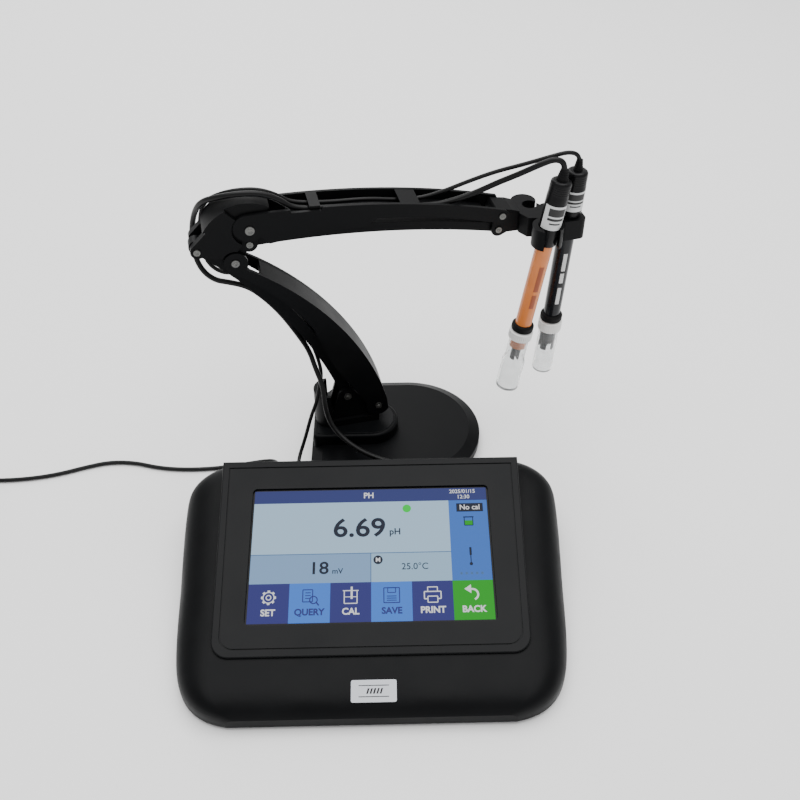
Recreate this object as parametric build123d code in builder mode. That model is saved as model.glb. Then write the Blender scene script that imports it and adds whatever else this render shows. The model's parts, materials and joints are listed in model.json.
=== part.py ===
from build123d import *
import os
from math import cos, sin, tan, radians, pi, hypot

# Touch-screen pH meter with a parallelogram electrode arm on a weighted stand.
# Millimetres. X to the right, Y to the back, Z up. The origin is on the table,
# near the middle of the instrument's footprint.

os.makedirs("parts", exist_ok=True)

# ---------------------------------------------------------------- instrument
METER_FRONT, METER_REAR = -86.0, 97.5
METER_MID = (METER_FRONT + METER_REAR) / 2
WALL = 2.5
PART_LINE = 12.0              # height where the two case halves meet
CASE_FLOOR = 3.0              # underside of the case, above the rubber feet
FOOT_R = 7.0
FOOT_PLACES = [(-98, -68), (98, -68), (-98, 75), (98, 75)]
CASE_SCREW_PLACES = [(-95, -52), (95, -52), (-95, 58), (95, 58)]
SCREEN_TILT = 16.4
SCREEN_CENTRE = (0, 9.5, 45.0)
PANEL_TOP_WIDTH, PANEL_BOTTOM_WIDTH = 199.6, 194.6
PANEL_TOP, PANEL_BOTTOM = 67.2, -66.1
WINDOW_WIDTH, WINDOW_HEIGHT = 156.2, 92.6
LIP = 1.6                     # bezel lip over the edge of the glass
GLASS_THICKNESS = 1.6
DISPLAY_THICKNESS = 5.0
# body sections from the rear to the front: y, half width, top, shoulder
BODY_SECTIONS = [
    (METER_REAR, 107, 37.0, 14), (90, 114, 43.0, 16), (82, 121.5, 45.8, 17), (73, 126.5, 46.2, 18),
    (60, 128, 44.8, 19.5), (30, 127, 40.0, 21), (0, 125, 34.8, 21), (-45, 121.5, 26.4, 18.5),
    (-64, 116.5, 22.4, 15), (-76, 108, 19.2, 11), (-82.5, 98, 15.4, 7), (METER_FRONT, 86, 10.6, 4),
]
SOCKET_HEIGHT = 14.0
PH_SOCKET_X, PROBE_SOCKET_X, JACK_X, USB_X, BUTTON_X = -56.0, 98.0, -72.0, 52.0, 74.0

# --------------------------------------------------------------------- stand
STAND_LEFT, STAND_FRONT, STAND_BACK = -47.0, 102.5, 216.5
STAND_RADIUS = (STAND_BACK - STAND_FRONT) / 2
STAND_MID = (STAND_FRONT + STAND_BACK) / 2
STAND_ROUND_X = 27.0
STAND_RIM, STAND_TOP, STAND_BEVEL = 9.0, 13.5, 8.5
PLATEAU_TOP = 23.0
PLATEAU_RADIUS = 20.5
PLATEAU_ROUND_X = -0.7
STAND_SCREWS = [(-30, 115), (-20, 200), (60, 159.5)]

# ----------------------------------------------------------------------- arm
# The arm stands in a vertical plane turned by ARM_TURN about the vertical.
# s runs along that plane, t is the depth behind its near face, z is height.
ARM_X, ARM_Y, ARM_TURN = -12.4, 152.6, 12.3
ARM_WIDTH = 23.0
CHEEK = 2.4                   # wall of the two channel links
EAR_NEAR, EAR_FAR = 2.8, 20.2   # outer faces of the bracket, knuckle and holder
EAR = 2.5
TIE_NEAR, TIE_FAR = 5.6, 13.4   # faces of both tie bars
PIVOT_A, PIVOT_B = (-5.0, 50.1), (17.8, 38.4)      # on the bracket
PIVOT_C1, PIVOT_C2 = (-95.7, 193.1), (-72.9, 181.4)  # on the knuckle
PIVOT_U1, PIVOT_U2 = (-61.1, 204.0), (-62.2, 192.2)  # on the knuckle
PIVOT_H1, PIVOT_H2 = (106.5, 190.3), (105.4, 178.5)  # on the holder
PIN_R, HOLE_R = 2.0, 2.06     # running fit
LOOSE_HOLE_R = 2.4            # the two pivots left open in the joint tree
SWIVEL_T = 12.0               # depth of the swivel axis, at s = 0
RIM_CENTRE, RIM_R = (-63.0, 189.5), 30.5

# ---------------------------------------------------------------- electrodes
TUBE_R, CAP_R = 6.0, 7.3
PH_TOP, PH_LEAN = (152.3, -9.0, 223.0), 0.047     # s, t, z of the cap's top; ds/dz
COND_TOP, COND_LEAN = (138.2, -18.0, 222.4), 0.146
HOLDER_TOP, HOLDER_HEIGHT = 190.3, 14.4
SEAT_CLEARANCE = 0.35
PH_LEAD_R, COND_LEAD_R, POWER_CORD_R = 1.4, 1.9, 1.6


def arm_vector(s, t, z):
    """Row coordinates of a point given in the arm's own s, t, z."""
    turn = radians(ARM_TURN)
    return (ARM_X + s * cos(turn) - t * sin(turn), ARM_Y + s * sin(turn) + t * cos(turn), z)


def arm_plane(depth):
    """Vertical plane of the arm at a depth, facing the viewer: sketch x is s, sketch y is z."""
    turn = radians(ARM_TURN)
    return Plane(origin=arm_vector(0, depth, 0), x_dir=(cos(turn), sin(turn), 0),
                 z_dir=(sin(turn), -cos(turn), 0))


def arm_level(height):
    """Horizontal plane in the arm's own directions: sketch x is s, sketch y is t."""
    turn = radians(ARM_TURN)
    return Plane(origin=arm_vector(0, 0, height), x_dir=(cos(turn), sin(turn), 0), z_dir=(0, 0, 1))


def screen_plane(depth=0.0):
    """Plane of the sloping panel, at a depth below its face."""
    tilt = radians(SCREEN_TILT)
    x, y, z = SCREEN_CENTRE
    return Plane(origin=(x, y + depth * sin(tilt), z - depth * cos(tilt)), x_dir=(1, 0, 0),
                 z_dir=(0, -sin(tilt), cos(tilt)))


def electrode_plane(top, lean, drop):
    """Plane across an electrode, drop millimetres down its axis from the cap's top."""
    turn = radians(ARM_TURN)
    length = hypot(lean, 1)
    s, t, z = top
    origin = arm_vector(s - lean * drop / length, t, z - drop / length)
    axis = (lean * cos(turn) / length, lean * sin(turn) / length, 1 / length)
    return Plane(origin=origin, x_dir=(cos(turn) / length, sin(turn) / length, -lean / length),
                 z_dir=axis)


def rear_plane(y):
    """Vertical plane that faces the back: sketch x is -X, sketch y is Z."""
    return Plane(origin=(0, y, 0), x_dir=(-1, 0, 0), z_dir=(0, 1, 0))


def body_form(inset):
    """The instrument's outer form, shrunk by inset."""
    with BuildPart() as form:
        for y, half, top, shoulder in BODY_SECTIONS:
            depth = METER_REAR - METER_MID
            y_in = METER_MID + (y - METER_MID) * (depth - inset) / depth
            with BuildSketch(Plane(origin=(0, y_in, 0), x_dir=(1, 0, 0), z_dir=(0, -1, 0))):
                w, h, low = half - inset, top - inset, CASE_FLOOR + inset
                r = min(shoulder, h - low - 1.5)
                with BuildLine():
                    Polyline((-w, h - r), (-w, low), (w, low), (w, h - r))
                    Bezier((w, h - r), (w, h - 0.4 * r), (w - 0.45 * r, h), (w - 1.25 * r, h))
                    Line((w - 1.25 * r, h), (-w + 1.25 * r, h))
                    Bezier((-w + 1.25 * r, h), (-w + 0.45 * r, h), (-w, h - 0.4 * r), (-w, h - r))
                make_face()
        loft()
    return form.part


def panel_outline(inset=0.0):
    """Outline of the raised panel: straight back edge, rounded front corners."""
    top, low = PANEL_TOP - inset, PANEL_BOTTOM + inset
    wide, narrow = PANEL_TOP_WIDTH / 2 - inset, PANEL_BOTTOM_WIDTH / 2 - inset
    with BuildSketch(mode=Mode.PRIVATE) as outline:
        with BuildLine():
            Polyline((-wide, top), (-narrow, low), (narrow, low), (wide, top), close=True)
        make_face()
        front = outline.vertices().group_by(Axis.Y)[0]
        back = outline.vertices().group_by(Axis.Y)[-1]
        fillet(front, radius=11 - 0.5 * inset)
        fillet(back, radius=4)
    return outline.sketch


def stand_outline(inset=0.0):
    """D-shaped outline of the stand, with its back left corner cut off."""
    left, front, back = STAND_LEFT + inset, STAND_FRONT + inset, STAND_BACK - inset
    with BuildSketch(mode=Mode.PRIVATE) as outline:
        with BuildLine():
            Polyline((STAND_ROUND_X, back), (left + 20, back), (left, back - 20), (left, front),
                     (STAND_ROUND_X, front))
            ThreePointArc((STAND_ROUND_X, front), (STAND_ROUND_X + STAND_RADIUS - inset, STAND_MID),
                          (STAND_ROUND_X, back))
        make_face()
        fillet(outline.vertices().sort_by(Axis.X)[:3], radius=5)
    return outline.sketch


def plateau_outline(inset=0.0):
    """D-shaped outline of the raised part of the stand."""
    left, r = STAND_LEFT + 1.5 + inset, PLATEAU_RADIUS - inset
    with BuildSketch(mode=Mode.PRIVATE) as outline:
        with BuildLine():
            Polyline((PLATEAU_ROUND_X, STAND_MID + r), (left, STAND_MID + r), (left, STAND_MID - r),
                     (PLATEAU_ROUND_X, STAND_MID - r))
            ThreePointArc((PLATEAU_ROUND_X, STAND_MID - r), (PLATEAU_ROUND_X + r, STAND_MID),
                          (PLATEAU_ROUND_X, STAND_MID + r))
        make_face()
        fillet(outline.vertices().sort_by(Axis.X)[:2], radius=2.5)
    return outline.sketch


def finish(node, label):
    """Name a finished piece and write it out."""
    node.part.label = label
    export_step(node.part, f"parts/{label}.step")


# ================================================================ instrument
print("instrument")
outer_form, inner_form = body_form(0), body_form(WALL)

with BuildPart() as meter_bottom_case:
    add(outer_form)
    add(inner_form, mode=Mode.SUBTRACT)
    split(bisect_by=Plane.XY.offset(PART_LINE), keep=Keep.BOTTOM)
    # screw bosses inside
    with BuildSketch(Plane.XY.offset(CASE_FLOOR + 1)):
        with Locations(*CASE_SCREW_PLACES):
            Circle(4)
    extrude(amount=PART_LINE - CASE_FLOOR - 1.2)
    with BuildSketch(Plane.XY.offset(CASE_FLOOR)):
        with Locations(*CASE_SCREW_PLACES):
            Circle(1.6)
    extrude(amount=PART_LINE, mode=Mode.SUBTRACT)
    with BuildSketch(Plane.XY.offset(CASE_FLOOR)):
        with Locations(*CASE_SCREW_PLACES):
            Circle(3.1)
    extrude(amount=2.2, mode=Mode.SUBTRACT)
    # rear opening, lower half
    with BuildSketch(rear_plane(METER_REAR + 1)):
        with Locations((0, PART_LINE)):
            Rectangle(212, 12)
    extrude(amount=-4, mode=Mode.SUBTRACT)
finish(meter_bottom_case, "meter_bottom_case")

with BuildPart() as meter_top_case:
    add(outer_form)
    add(inner_form, mode=Mode.SUBTRACT)
    split(bisect_by=Plane.XY.offset(PART_LINE), keep=Keep.TOP)
    with BuildSketch(screen_plane(-5)):
        with Locations((0, 2)):
            Rectangle(172, 108)
    extrude(amount=-30, mode=Mode.SUBTRACT)
    with BuildSketch(rear_plane(METER_REAR + 1)):
        with Locations((0, PART_LINE)):
            Rectangle(212, 24)
    extrude(amount=-4, mode=Mode.SUBTRACT)
finish(meter_top_case, "meter_top_case")

with BuildPart() as screen_bezel:
    with BuildSketch(screen_plane()):
        add(panel_outline())
    extrude(amount=-22)
    add(outer_form, mode=Mode.SUBTRACT)
    # hollow underside
    with BuildSketch(screen_plane(LIP + 0.9)):
        add(panel_outline(3.0))
    extrude(amount=-24, mode=Mode.SUBTRACT)
    # seat of the glass and the window
    with BuildSketch(screen_plane(LIP)):
        RectangleRounded(WINDOW_WIDTH + 8.2, WINDOW_HEIGHT + 8.2, 4)
    extrude(amount=-4, mode=Mode.SUBTRACT)
    with BuildSketch(screen_plane()):
        RectangleRounded(WINDOW_WIDTH, WINDOW_HEIGHT, 3)
    extrude(amount=-4, mode=Mode.SUBTRACT)
    # fine groove that runs round the panel, just inside its edge
    with BuildSketch(screen_plane()):
        add(panel_outline(4.6))
        add(panel_outline(5.6), mode=Mode.SUBTRACT)
    extrude(amount=-0.8, mode=Mode.SUBTRACT)
    rim_edges = screen_bezel.edges().filter_by(
        lambda e: abs(screen_plane().to_local_coords(e.center()).Z) < 0.01
        and abs(screen_plane().to_local_coords(e.center()).X) > PANEL_BOTTOM_WIDTH / 2 - 3.2)
    top_edge = screen_bezel.edges().filter_by(
        lambda e: abs(screen_plane().to_local_coords(e.center()).Z) < 0.01
        and abs(screen_plane().to_local_coords(e.center()).Y) > PANEL_TOP - 4.0)
    low_edge = screen_bezel.edges().filter_by(
        lambda e: abs(screen_plane().to_local_coords(e.center()).Z) < 0.01
        and screen_plane().to_local_coords(e.center()).Y < PANEL_BOTTOM + 3.4)
    fillet(ShapeList(set(rim_edges + top_edge + low_edge)), radius=0.9)
finish(screen_bezel, "screen_bezel")

with BuildPart() as touch_glass:
    with BuildSketch(screen_plane(LIP)):
        RectangleRounded(WINDOW_WIDTH + 8, WINDOW_HEIGHT + 8, 3.9)
    extrude(amount=-GLASS_THICKNESS)
finish(touch_glass, "touch_glass")

with BuildPart() as display_module:
    with BuildSketch(screen_plane(LIP + GLASS_THICKNESS)):
        Rectangle(WINDOW_WIDTH + 8, WINDOW_HEIGHT + 8)
    extrude(amount=-DISPLAY_THICKNESS)
finish(display_module, "display_module")

BOARD_DEPTH = LIP + GLASS_THICKNESS + DISPLAY_THICKNESS + 0.4
with BuildPart() as main_board:
    with BuildSketch(screen_plane(BOARD_DEPTH)):
        Rectangle(130, 84)
    extrude(amount=-1.6)
    with BuildSketch(screen_plane(BOARD_DEPTH + 1.6)):
        with Locations((-30, 10)):
            Rectangle(14, 14)
        with Locations((5, 8), (5, -14)):
            Rectangle(10, 16)
        with Locations((42, 0)):
            Rectangle(18, 12)
    extrude(amount=-1.4)
finish(main_board, "main_board")

with BuildPart() as input_board:
    with BuildSketch(Plane.XY.offset(CASE_FLOOR + WALL + 0.2)):
        with Locations((0, 70)):
            Rectangle(150, 26)
    extrude(amount=1.6)
    with BuildSketch(Plane.XY.offset(CASE_FLOOR + WALL + 1.8)):
        with Locations((-40, 68)):
            Rectangle(26, 16)
        with Locations((30, 68)):
            Rectangle(16, 10)
    extrude(amount=3.2)
finish(input_board, "input_board")

REAR_PANEL_FACE = METER_REAR - 0.6
with BuildPart() as rear_panel:
    with BuildSketch(rear_plane(REAR_PANEL_FACE)):
        with Locations((0, PART_LINE + 3)):
            Rectangle(211.4, 17.4)
    extrude(amount=-1.8)
    with BuildSketch(rear_plane(REAR_PANEL_FACE)):
        with Locations((-PH_SOCKET_X, SOCKET_HEIGHT), (-PROBE_SOCKET_X, SOCKET_HEIGHT)):
            Circle(5.2)
        with Locations((-JACK_X, SOCKET_HEIGHT)):
            Circle(4.0)
        with Locations((-USB_X, SOCKET_HEIGHT)):
            Rectangle(12.4, 11.4)
        with Locations((-BUTTON_X, SOCKET_HEIGHT)):
            Circle(4.6)
    extrude(amount=-1.8, mode=Mode.SUBTRACT)
finish(rear_panel, "rear_panel")

with BuildPart() as coaxial_sockets:
    with BuildSketch(rear_plane(METER_REAR + 8)):
        with Locations((-PH_SOCKET_X, SOCKET_HEIGHT), (-PROBE_SOCKET_X, SOCKET_HEIGHT)):
            Circle(4.8)
            Circle(3.6, mode=Mode.SUBTRACT)
    extrude(amount=-16)
    with BuildSketch(rear_plane(METER_REAR - 6)):
        with Locations((-PH_SOCKET_X, SOCKET_HEIGHT), (-PROBE_SOCKET_X, SOCKET_HEIGHT)):
            Circle(4.8)
    extrude(amount=-2)
    with BuildSketch(rear_plane(METER_REAR + 6)):
        with Locations((-PH_SOCKET_X, SOCKET_HEIGHT), (-PROBE_SOCKET_X, SOCKET_HEIGHT)):
            Circle(0.8)
    extrude(amount=-13)
finish(coaxial_sockets, "coaxial_sockets")

with BuildPart() as dc_jack:
    with BuildSketch(rear_plane(METER_REAR)):
        with Locations((-JACK_X, SOCKET_HEIGHT)):
            Circle(3.9)
            Circle(2.8, mode=Mode.SUBTRACT)
    extrude(amount=-10)
    with BuildSketch(rear_plane(METER_REAR - 10)):
        with Locations((-JACK_X, SOCKET_HEIGHT)):
            Circle(3.9)
    extrude(amount=-2)
    with BuildSketch(rear_plane(METER_REAR - 1)):
        with Locations((-JACK_X, SOCKET_HEIGHT)):
            Circle(0.9)
    extrude(amount=-10)
finish(dc_jack, "dc_jack")

with BuildPart() as usb_port:
    with BuildSketch(rear_plane(METER_REAR)):
        with Locations((-USB_X, SOCKET_HEIGHT)):
            Rectangle(12.2, 11.2)
            Rectangle(9.4, 8.4, mode=Mode.SUBTRACT)
    extrude(amount=-12)
    with BuildSketch(rear_plane(METER_REAR - 12)):
        with Locations((-USB_X, SOCKET_HEIGHT)):
            Rectangle(12.2, 11.2)
    extrude(amount=-2)
finish(usb_port, "usb_port")

with BuildPart() as power_button:
    with BuildSketch(rear_plane(METER_REAR + 2.2)):
        with Locations((-BUTTON_X, SOCKET_HEIGHT)):
            Circle(4.2)
    extrude(amount=-7)
    fillet(power_button.edges().group_by(Axis.Y)[-1], radius=0.8)
finish(power_button, "power_button")

BADGE_V = -87.0
with BuildPart() as badge_plate:
    with BuildSketch(screen_plane(0.2)):
        with Locations((1.5, BADGE_V)):
            RectangleRounded(27, 13, 1.2)
    extrude(amount=-5)
    add(outer_form, mode=Mode.SUBTRACT)
    add(inner_form, mode=Mode.SUBTRACT)
print("badge above the case", round(badge_plate.part.volume, 1))
finish(badge_plate, "badge_plate")

with BuildPart() as meter_feet:
    with BuildSketch(Plane.XY):
        with Locations(*FOOT_PLACES):
            Circle(FOOT_R)
    extrude(amount=CASE_FLOOR)
    chamfer(meter_feet.edges().group_by(Axis.Z)[0], length=0.6)
finish(meter_feet, "meter_feet")

# screws of the case and of the stand's bottom plate
with BuildPart() as underside_screws:
    with BuildSketch(Plane.XY.offset(CASE_FLOOR + 0.2)):
        with Locations(*CASE_SCREW_PLACES):
            Circle(2.9)
    extrude(amount=1.9)
    with BuildSketch(Plane.XY.offset(CASE_FLOOR + 2.1)):
        with Locations(*CASE_SCREW_PLACES):
            Circle(1.5)
    extrude(amount=8)
    with BuildSketch(Plane.XY.offset(0.3)):
        with Locations(*STAND_SCREWS):
            Circle(2.8)
    extrude(amount=1.2)
    with BuildSketch(Plane.XY.offset(1.5)):
        with Locations(*STAND_SCREWS):
            Circle(1.6)
    extrude(amount=1.8)
finish(underside_screws, "underside_screws")

# ===================================================================== stand
print("stand")
SWIVEL = arm_vector(0, SWIVEL_T, 0)[:2]
SHAFT_R = 6.0

with BuildPart() as stand_cover:
    with BuildSketch(Plane.XY.offset(3)):
        add(stand_outline())
    extrude(amount=STAND_RIM - 3)
    # wide bevel round the top
    with BuildSketch(Plane.XY.offset(STAND_RIM)):
        add(stand_outline())
    with BuildSketch(Plane.XY.offset(STAND_TOP)):
        add(stand_outline(STAND_BEVEL))
    loft()
    with BuildSketch(Plane.XY.offset(STAND_TOP - 2)):
        add(plateau_outline())
    extrude(amount=PLATEAU_TOP - STAND_TOP + 2)
    fillet(stand_cover.edges().group_by(Axis.Z)[-1], radius=2.4)
    # recess for the top insert, then the hollow underside
    with BuildSketch(Plane.XY.offset(PLATEAU_TOP - 1.2)):
        add(plateau_outline(2.8))
    extrude(amount=2, mode=Mode.SUBTRACT)
    with BuildSketch(Plane.XY.offset(3)):
        add(stand_outline(2.5))
    extrude(amount=5.5, mode=Mode.SUBTRACT)
    with BuildSketch(Plane.XY.offset(3)):
        add(plateau_outline(3.0))
    extrude(amount=PLATEAU_TOP - 1.2 - 3 - 2.5, mode=Mode.SUBTRACT)
    with BuildSketch(Plane.XY.offset(3)):
        with Locations(SWIVEL):
            Circle(SHAFT_R + 0.06)
    extrude(amount=PLATEAU_TOP, mode=Mode.SUBTRACT)
finish(stand_cover, "stand_cover")

with BuildPart() as stand_insert:
    with BuildSketch(Plane.XY.offset(PLATEAU_TOP - 1.2)):
        add(plateau_outline(3.1))
        with Locations(SWIVEL):
            Circle(SHAFT_R + 0.06, mode=Mode.SUBTRACT)
    extrude(amount=1.4)
    fillet(stand_insert.faces().sort_by(Axis.Z)[-1].edges().filter_by(
        lambda e: e.length > 40 or e.geom_type == GeomType.LINE), radius=0.3)
finish(stand_insert, "stand_insert")

with BuildPart() as stand_weight:
    with BuildSketch(Plane.XY.offset(3.4)):
        add(stand_outline(4))
        with Locations(SWIVEL):
            Circle(16, mode=Mode.SUBTRACT)
    extrude(amount=4.8)
finish(stand_weight, "stand_weight")

with BuildPart() as stand_bottom_plate:
    with BuildSketch(Plane.XY.offset(1.5)):
        add(stand_outline(0.4))
    extrude(amount=1.5)
    with BuildSketch(Plane.XY.offset(1.5)):
        with Locations(*STAND_SCREWS):
            Circle(1.7)
    extrude(amount=1.5, mode=Mode.SUBTRACT)
finish(stand_bottom_plate, "stand_bottom_plate")

with BuildPart() as stand_feet:
    with BuildSketch(Plane.XY):
        with Locations((-38, 124), (-36, 190), (22, 110), (22, 209), (74, 159.5)):
            Circle(5.5)
    extrude(amount=1.5)
finish(stand_feet, "stand_feet")

# ============================================================ swivel bracket
print("arm")
BRACKET_LOW = PLATEAU_TOP + 0.5
SLAB_TOP = 29.0
SHELL_S, SHELL_R, SHELL_TOP = -18.0, ARM_WIDTH / 2, 54.0

with BuildPart() as swivel_bracket:
    with BuildSketch(arm_level(BRACKET_LOW)):
        with BuildLine():
            Polyline((SHELL_S, 0), (18, 0), (18, ARM_WIDTH), (SHELL_S, ARM_WIDTH))
            ThreePointArc((SHELL_S, ARM_WIDTH), (SHELL_S - SHELL_R, SHELL_R), (SHELL_S, 0))
        make_face()
    extrude(amount=SLAB_TOP - BRACKET_LOW)
    # rounded left wall
    with BuildSketch(arm_level(BRACKET_LOW)):
        with BuildLine():
            ThreePointArc((SHELL_S, ARM_WIDTH), (SHELL_S - SHELL_R, SHELL_R), (SHELL_S, 0))
            Line((SHELL_S, 0), (SHELL_S, 2.4))
            ThreePointArc((SHELL_S, 2.4), (SHELL_S - SHELL_R + 2.4, SHELL_R), (SHELL_S, ARM_WIDTH - 2.4))
            Line((SHELL_S, ARM_WIDTH - 2.4), (SHELL_S, ARM_WIDTH))
        make_face()
    extrude(amount=SHELL_TOP - BRACKET_LOW)
    # two ears that carry both lower pivots
    for depth in (EAR_NEAR + EAR, EAR_FAR):
        with BuildSketch(arm_plane(depth)):
            with BuildLine():
                Line((-19, SLAB_TOP - 2), (17, SLAB_TOP - 2))
                Line((17, SLAB_TOP - 2), (24.3, 38.4))
                ThreePointArc((24.3, 38.4), (17.8, 44.9), (11.5, 40.2))
                Line((11.5, 40.2), (1.2, 53.2))
                ThreePointArc((1.2, 53.2), (-5.0, 57.1), (-12.0, 52.5))
                Line((-12.0, 52.5), (-19, SLAB_TOP - 2))
            make_face()
            with Locations(PIVOT_A, PIVOT_B):
                Circle(HOLE_R, mode=Mode.SUBTRACT)
        extrude(amount=EAR)
    with BuildSketch(arm_level(BRACKET_LOW)):
        with Locations((0, SWIVEL_T)):
            Circle(3.0)
    extrude(amount=SLAB_TOP - BRACKET_LOW, mode=Mode.SUBTRACT)
finish(swivel_bracket, "swivel_bracket")

with BuildPart() as swivel_shaft:
    with BuildSketch(arm_level(15.5)):
        with Locations((0, SWIVEL_T)):
            Circle(SHAFT_R)
            Circle(1.5, mode=Mode.SUBTRACT)
    extrude(amount=BRACKET_LOW - 15.5)
    with BuildSketch(arm_level(10.5)):
        with Locations((0, SWIVEL_T)):
            Circle(10)
            Circle(1.5, mode=Mode.SUBTRACT)
    extrude(amount=5)
finish(swivel_shaft, "swivel_shaft")

with BuildPart() as swivel_screw:
    with BuildSketch(arm_level(9)):
        with Locations((0, SWIVEL_T)):
            Circle(3)
    extrude(amount=1.5)
    with BuildSketch(arm_level(10.5)):
        with Locations((0, SWIVEL_T)):
            Circle(1.45)
    extrude(amount=16)
finish(swivel_screw, "swivel_screw")


def long_pin(pivot, near, far, head=2.9):
    """A pin across the arm with a flat head at its near end."""
    with BuildPart(mode=Mode.PRIVATE) as pin:
        with BuildSketch(arm_plane(far)):
            with Locations(pivot):
                Circle(PIN_R)
        extrude(amount=far - near)
        with BuildSketch(arm_plane(near)):
            with Locations(pivot):
                Circle(head)
        extrude(amount=1.0)
    return pin.part


def stub_pins(pivot, near_face, far_face, reach, head=2.6):
    """A pair of short pins, one through each cheek, with heads outside."""
    with BuildPart(mode=Mode.PRIVATE) as pins:
        for depth, length, head_depth in ((near_face + reach, reach, near_face),
                                          (far_face, reach, far_face + 0.9)):
            with BuildSketch(arm_plane(depth)):
                with Locations(pivot):
                    Circle(PIN_R)
            extrude(amount=length)
            with BuildSketch(arm_plane(head_depth)):
                with Locations(pivot):
                    Circle(head)
            extrude(amount=0.9)
    return pins.part


# pins of both lower pivots, fixed in the bracket
with BuildPart() as base_pins:
    add(long_pin(PIVOT_A, EAR_NEAR, EAR_FAR))
    add(stub_pins(PIVOT_B, 0, ARM_WIDTH, EAR_NEAR + EAR))
finish(base_pins, "base_pins")

# ================================================================ lower link
LINK_TOP_START, LINK_TOP_MID, LINK_TOP_END = (24.6, 44.0), (-7.0, 117.1), (-66.4, 175.8)
with BuildPart() as lower_link:
    for depth in (CHEEK, ARM_WIDTH):
        with BuildSketch(arm_plane(depth)):
            with BuildLine():
                ThreePointArc(LINK_TOP_START, LINK_TOP_MID, LINK_TOP_END)
                ThreePointArc(LINK_TOP_END, (-71.5, 188.6), (-79.6, 184.6))
                ThreePointArc((-79.6, 184.6), (-79.9, 178.8), (-76.0, 174.6))
                ThreePointArc((-76.0, 174.6), (-49.0, 150.4), (-27.2, 121.2))
                Spline((-27.2, 121.2), (-20.5, 101.0), (-12.5, 80.5), (-1.0, 60.0), (9.0, 41.5))
                ThreePointArc((9.0, 41.5), (18.4, 29.4), (25.6, 34.2))
                Line((25.6, 34.2), LINK_TOP_START)
            make_face()
            with Locations(PIVOT_B, PIVOT_C2):
                Circle(HOLE_R, mode=Mode.SUBTRACT)
        extrude(amount=CHEEK)
    # top wall between the cheeks
    with BuildSketch(arm_plane(ARM_WIDTH)):
        with BuildLine():
            ThreePointArc((22.2, 54.5), LINK_TOP_MID, (-57.0, 169.0))
            Line((-57.0, 169.0), (-58.6, 167.0))
            ThreePointArc((-58.6, 167.0), (-9.0, 115.7), (19.6, 54.0))
            Line((19.6, 54.0), (22.2, 54.5))
        make_face()
    extrude(amount=ARM_WIDTH)
finish(lower_link, "lower_link")


def tie_profile(start, end, sag, half, boss):
    """Curved bar between two pivots, bowed by sag, with a round boss at each end."""
    (s0, z0), (s1, z1) = start, end
    length = hypot(s1 - s0, z1 - z0)
    ns, nz = (z1 - z0) / length, -(s1 - s0) / length
    mid = ((s0 + s1) / 2 + ns * sag, (z0 + z1) / 2 + nz * sag)

    def beside(point, offset):
        return (point[0] + ns * offset, point[1] + nz * offset)

    with BuildSketch(mode=Mode.PRIVATE) as profile:
        with BuildLine():
            ThreePointArc(beside(start, half), beside(mid, half), beside(end, half))
            Line(beside(end, half), beside(end, -half))
            ThreePointArc(beside(end, -half), beside(mid, -half), beside(start, -half))
            Line(beside(start, -half), beside(start, half))
        make_face()
        with Locations(start, end):
            Circle(boss)
    return profile.sketch


with BuildPart() as lower_tie:
    with BuildSketch(arm_plane(TIE_FAR)):
        add(tie_profile(PIVOT_A, PIVOT_C1, 12.3, 4.3, 4.9))
        with Locations(PIVOT_A):
            Circle(HOLE_R, mode=Mode.SUBTRACT)
        with Locations(PIVOT_C1):
            Circle(LOOSE_HOLE_R, mode=Mode.SUBTRACT)
    extrude(amount=TIE_FAR - TIE_NEAR)
finish(lower_tie, "lower_tie")

# =================================================================== knuckle
def rim_point(angle, radius=RIM_R):
    """Point on the knuckle's round rim, at an angle above +s."""
    return (RIM_CENTRE[0] + radius * cos(radians(angle)), RIM_CENTRE[1] + radius * sin(radians(angle)))


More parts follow.
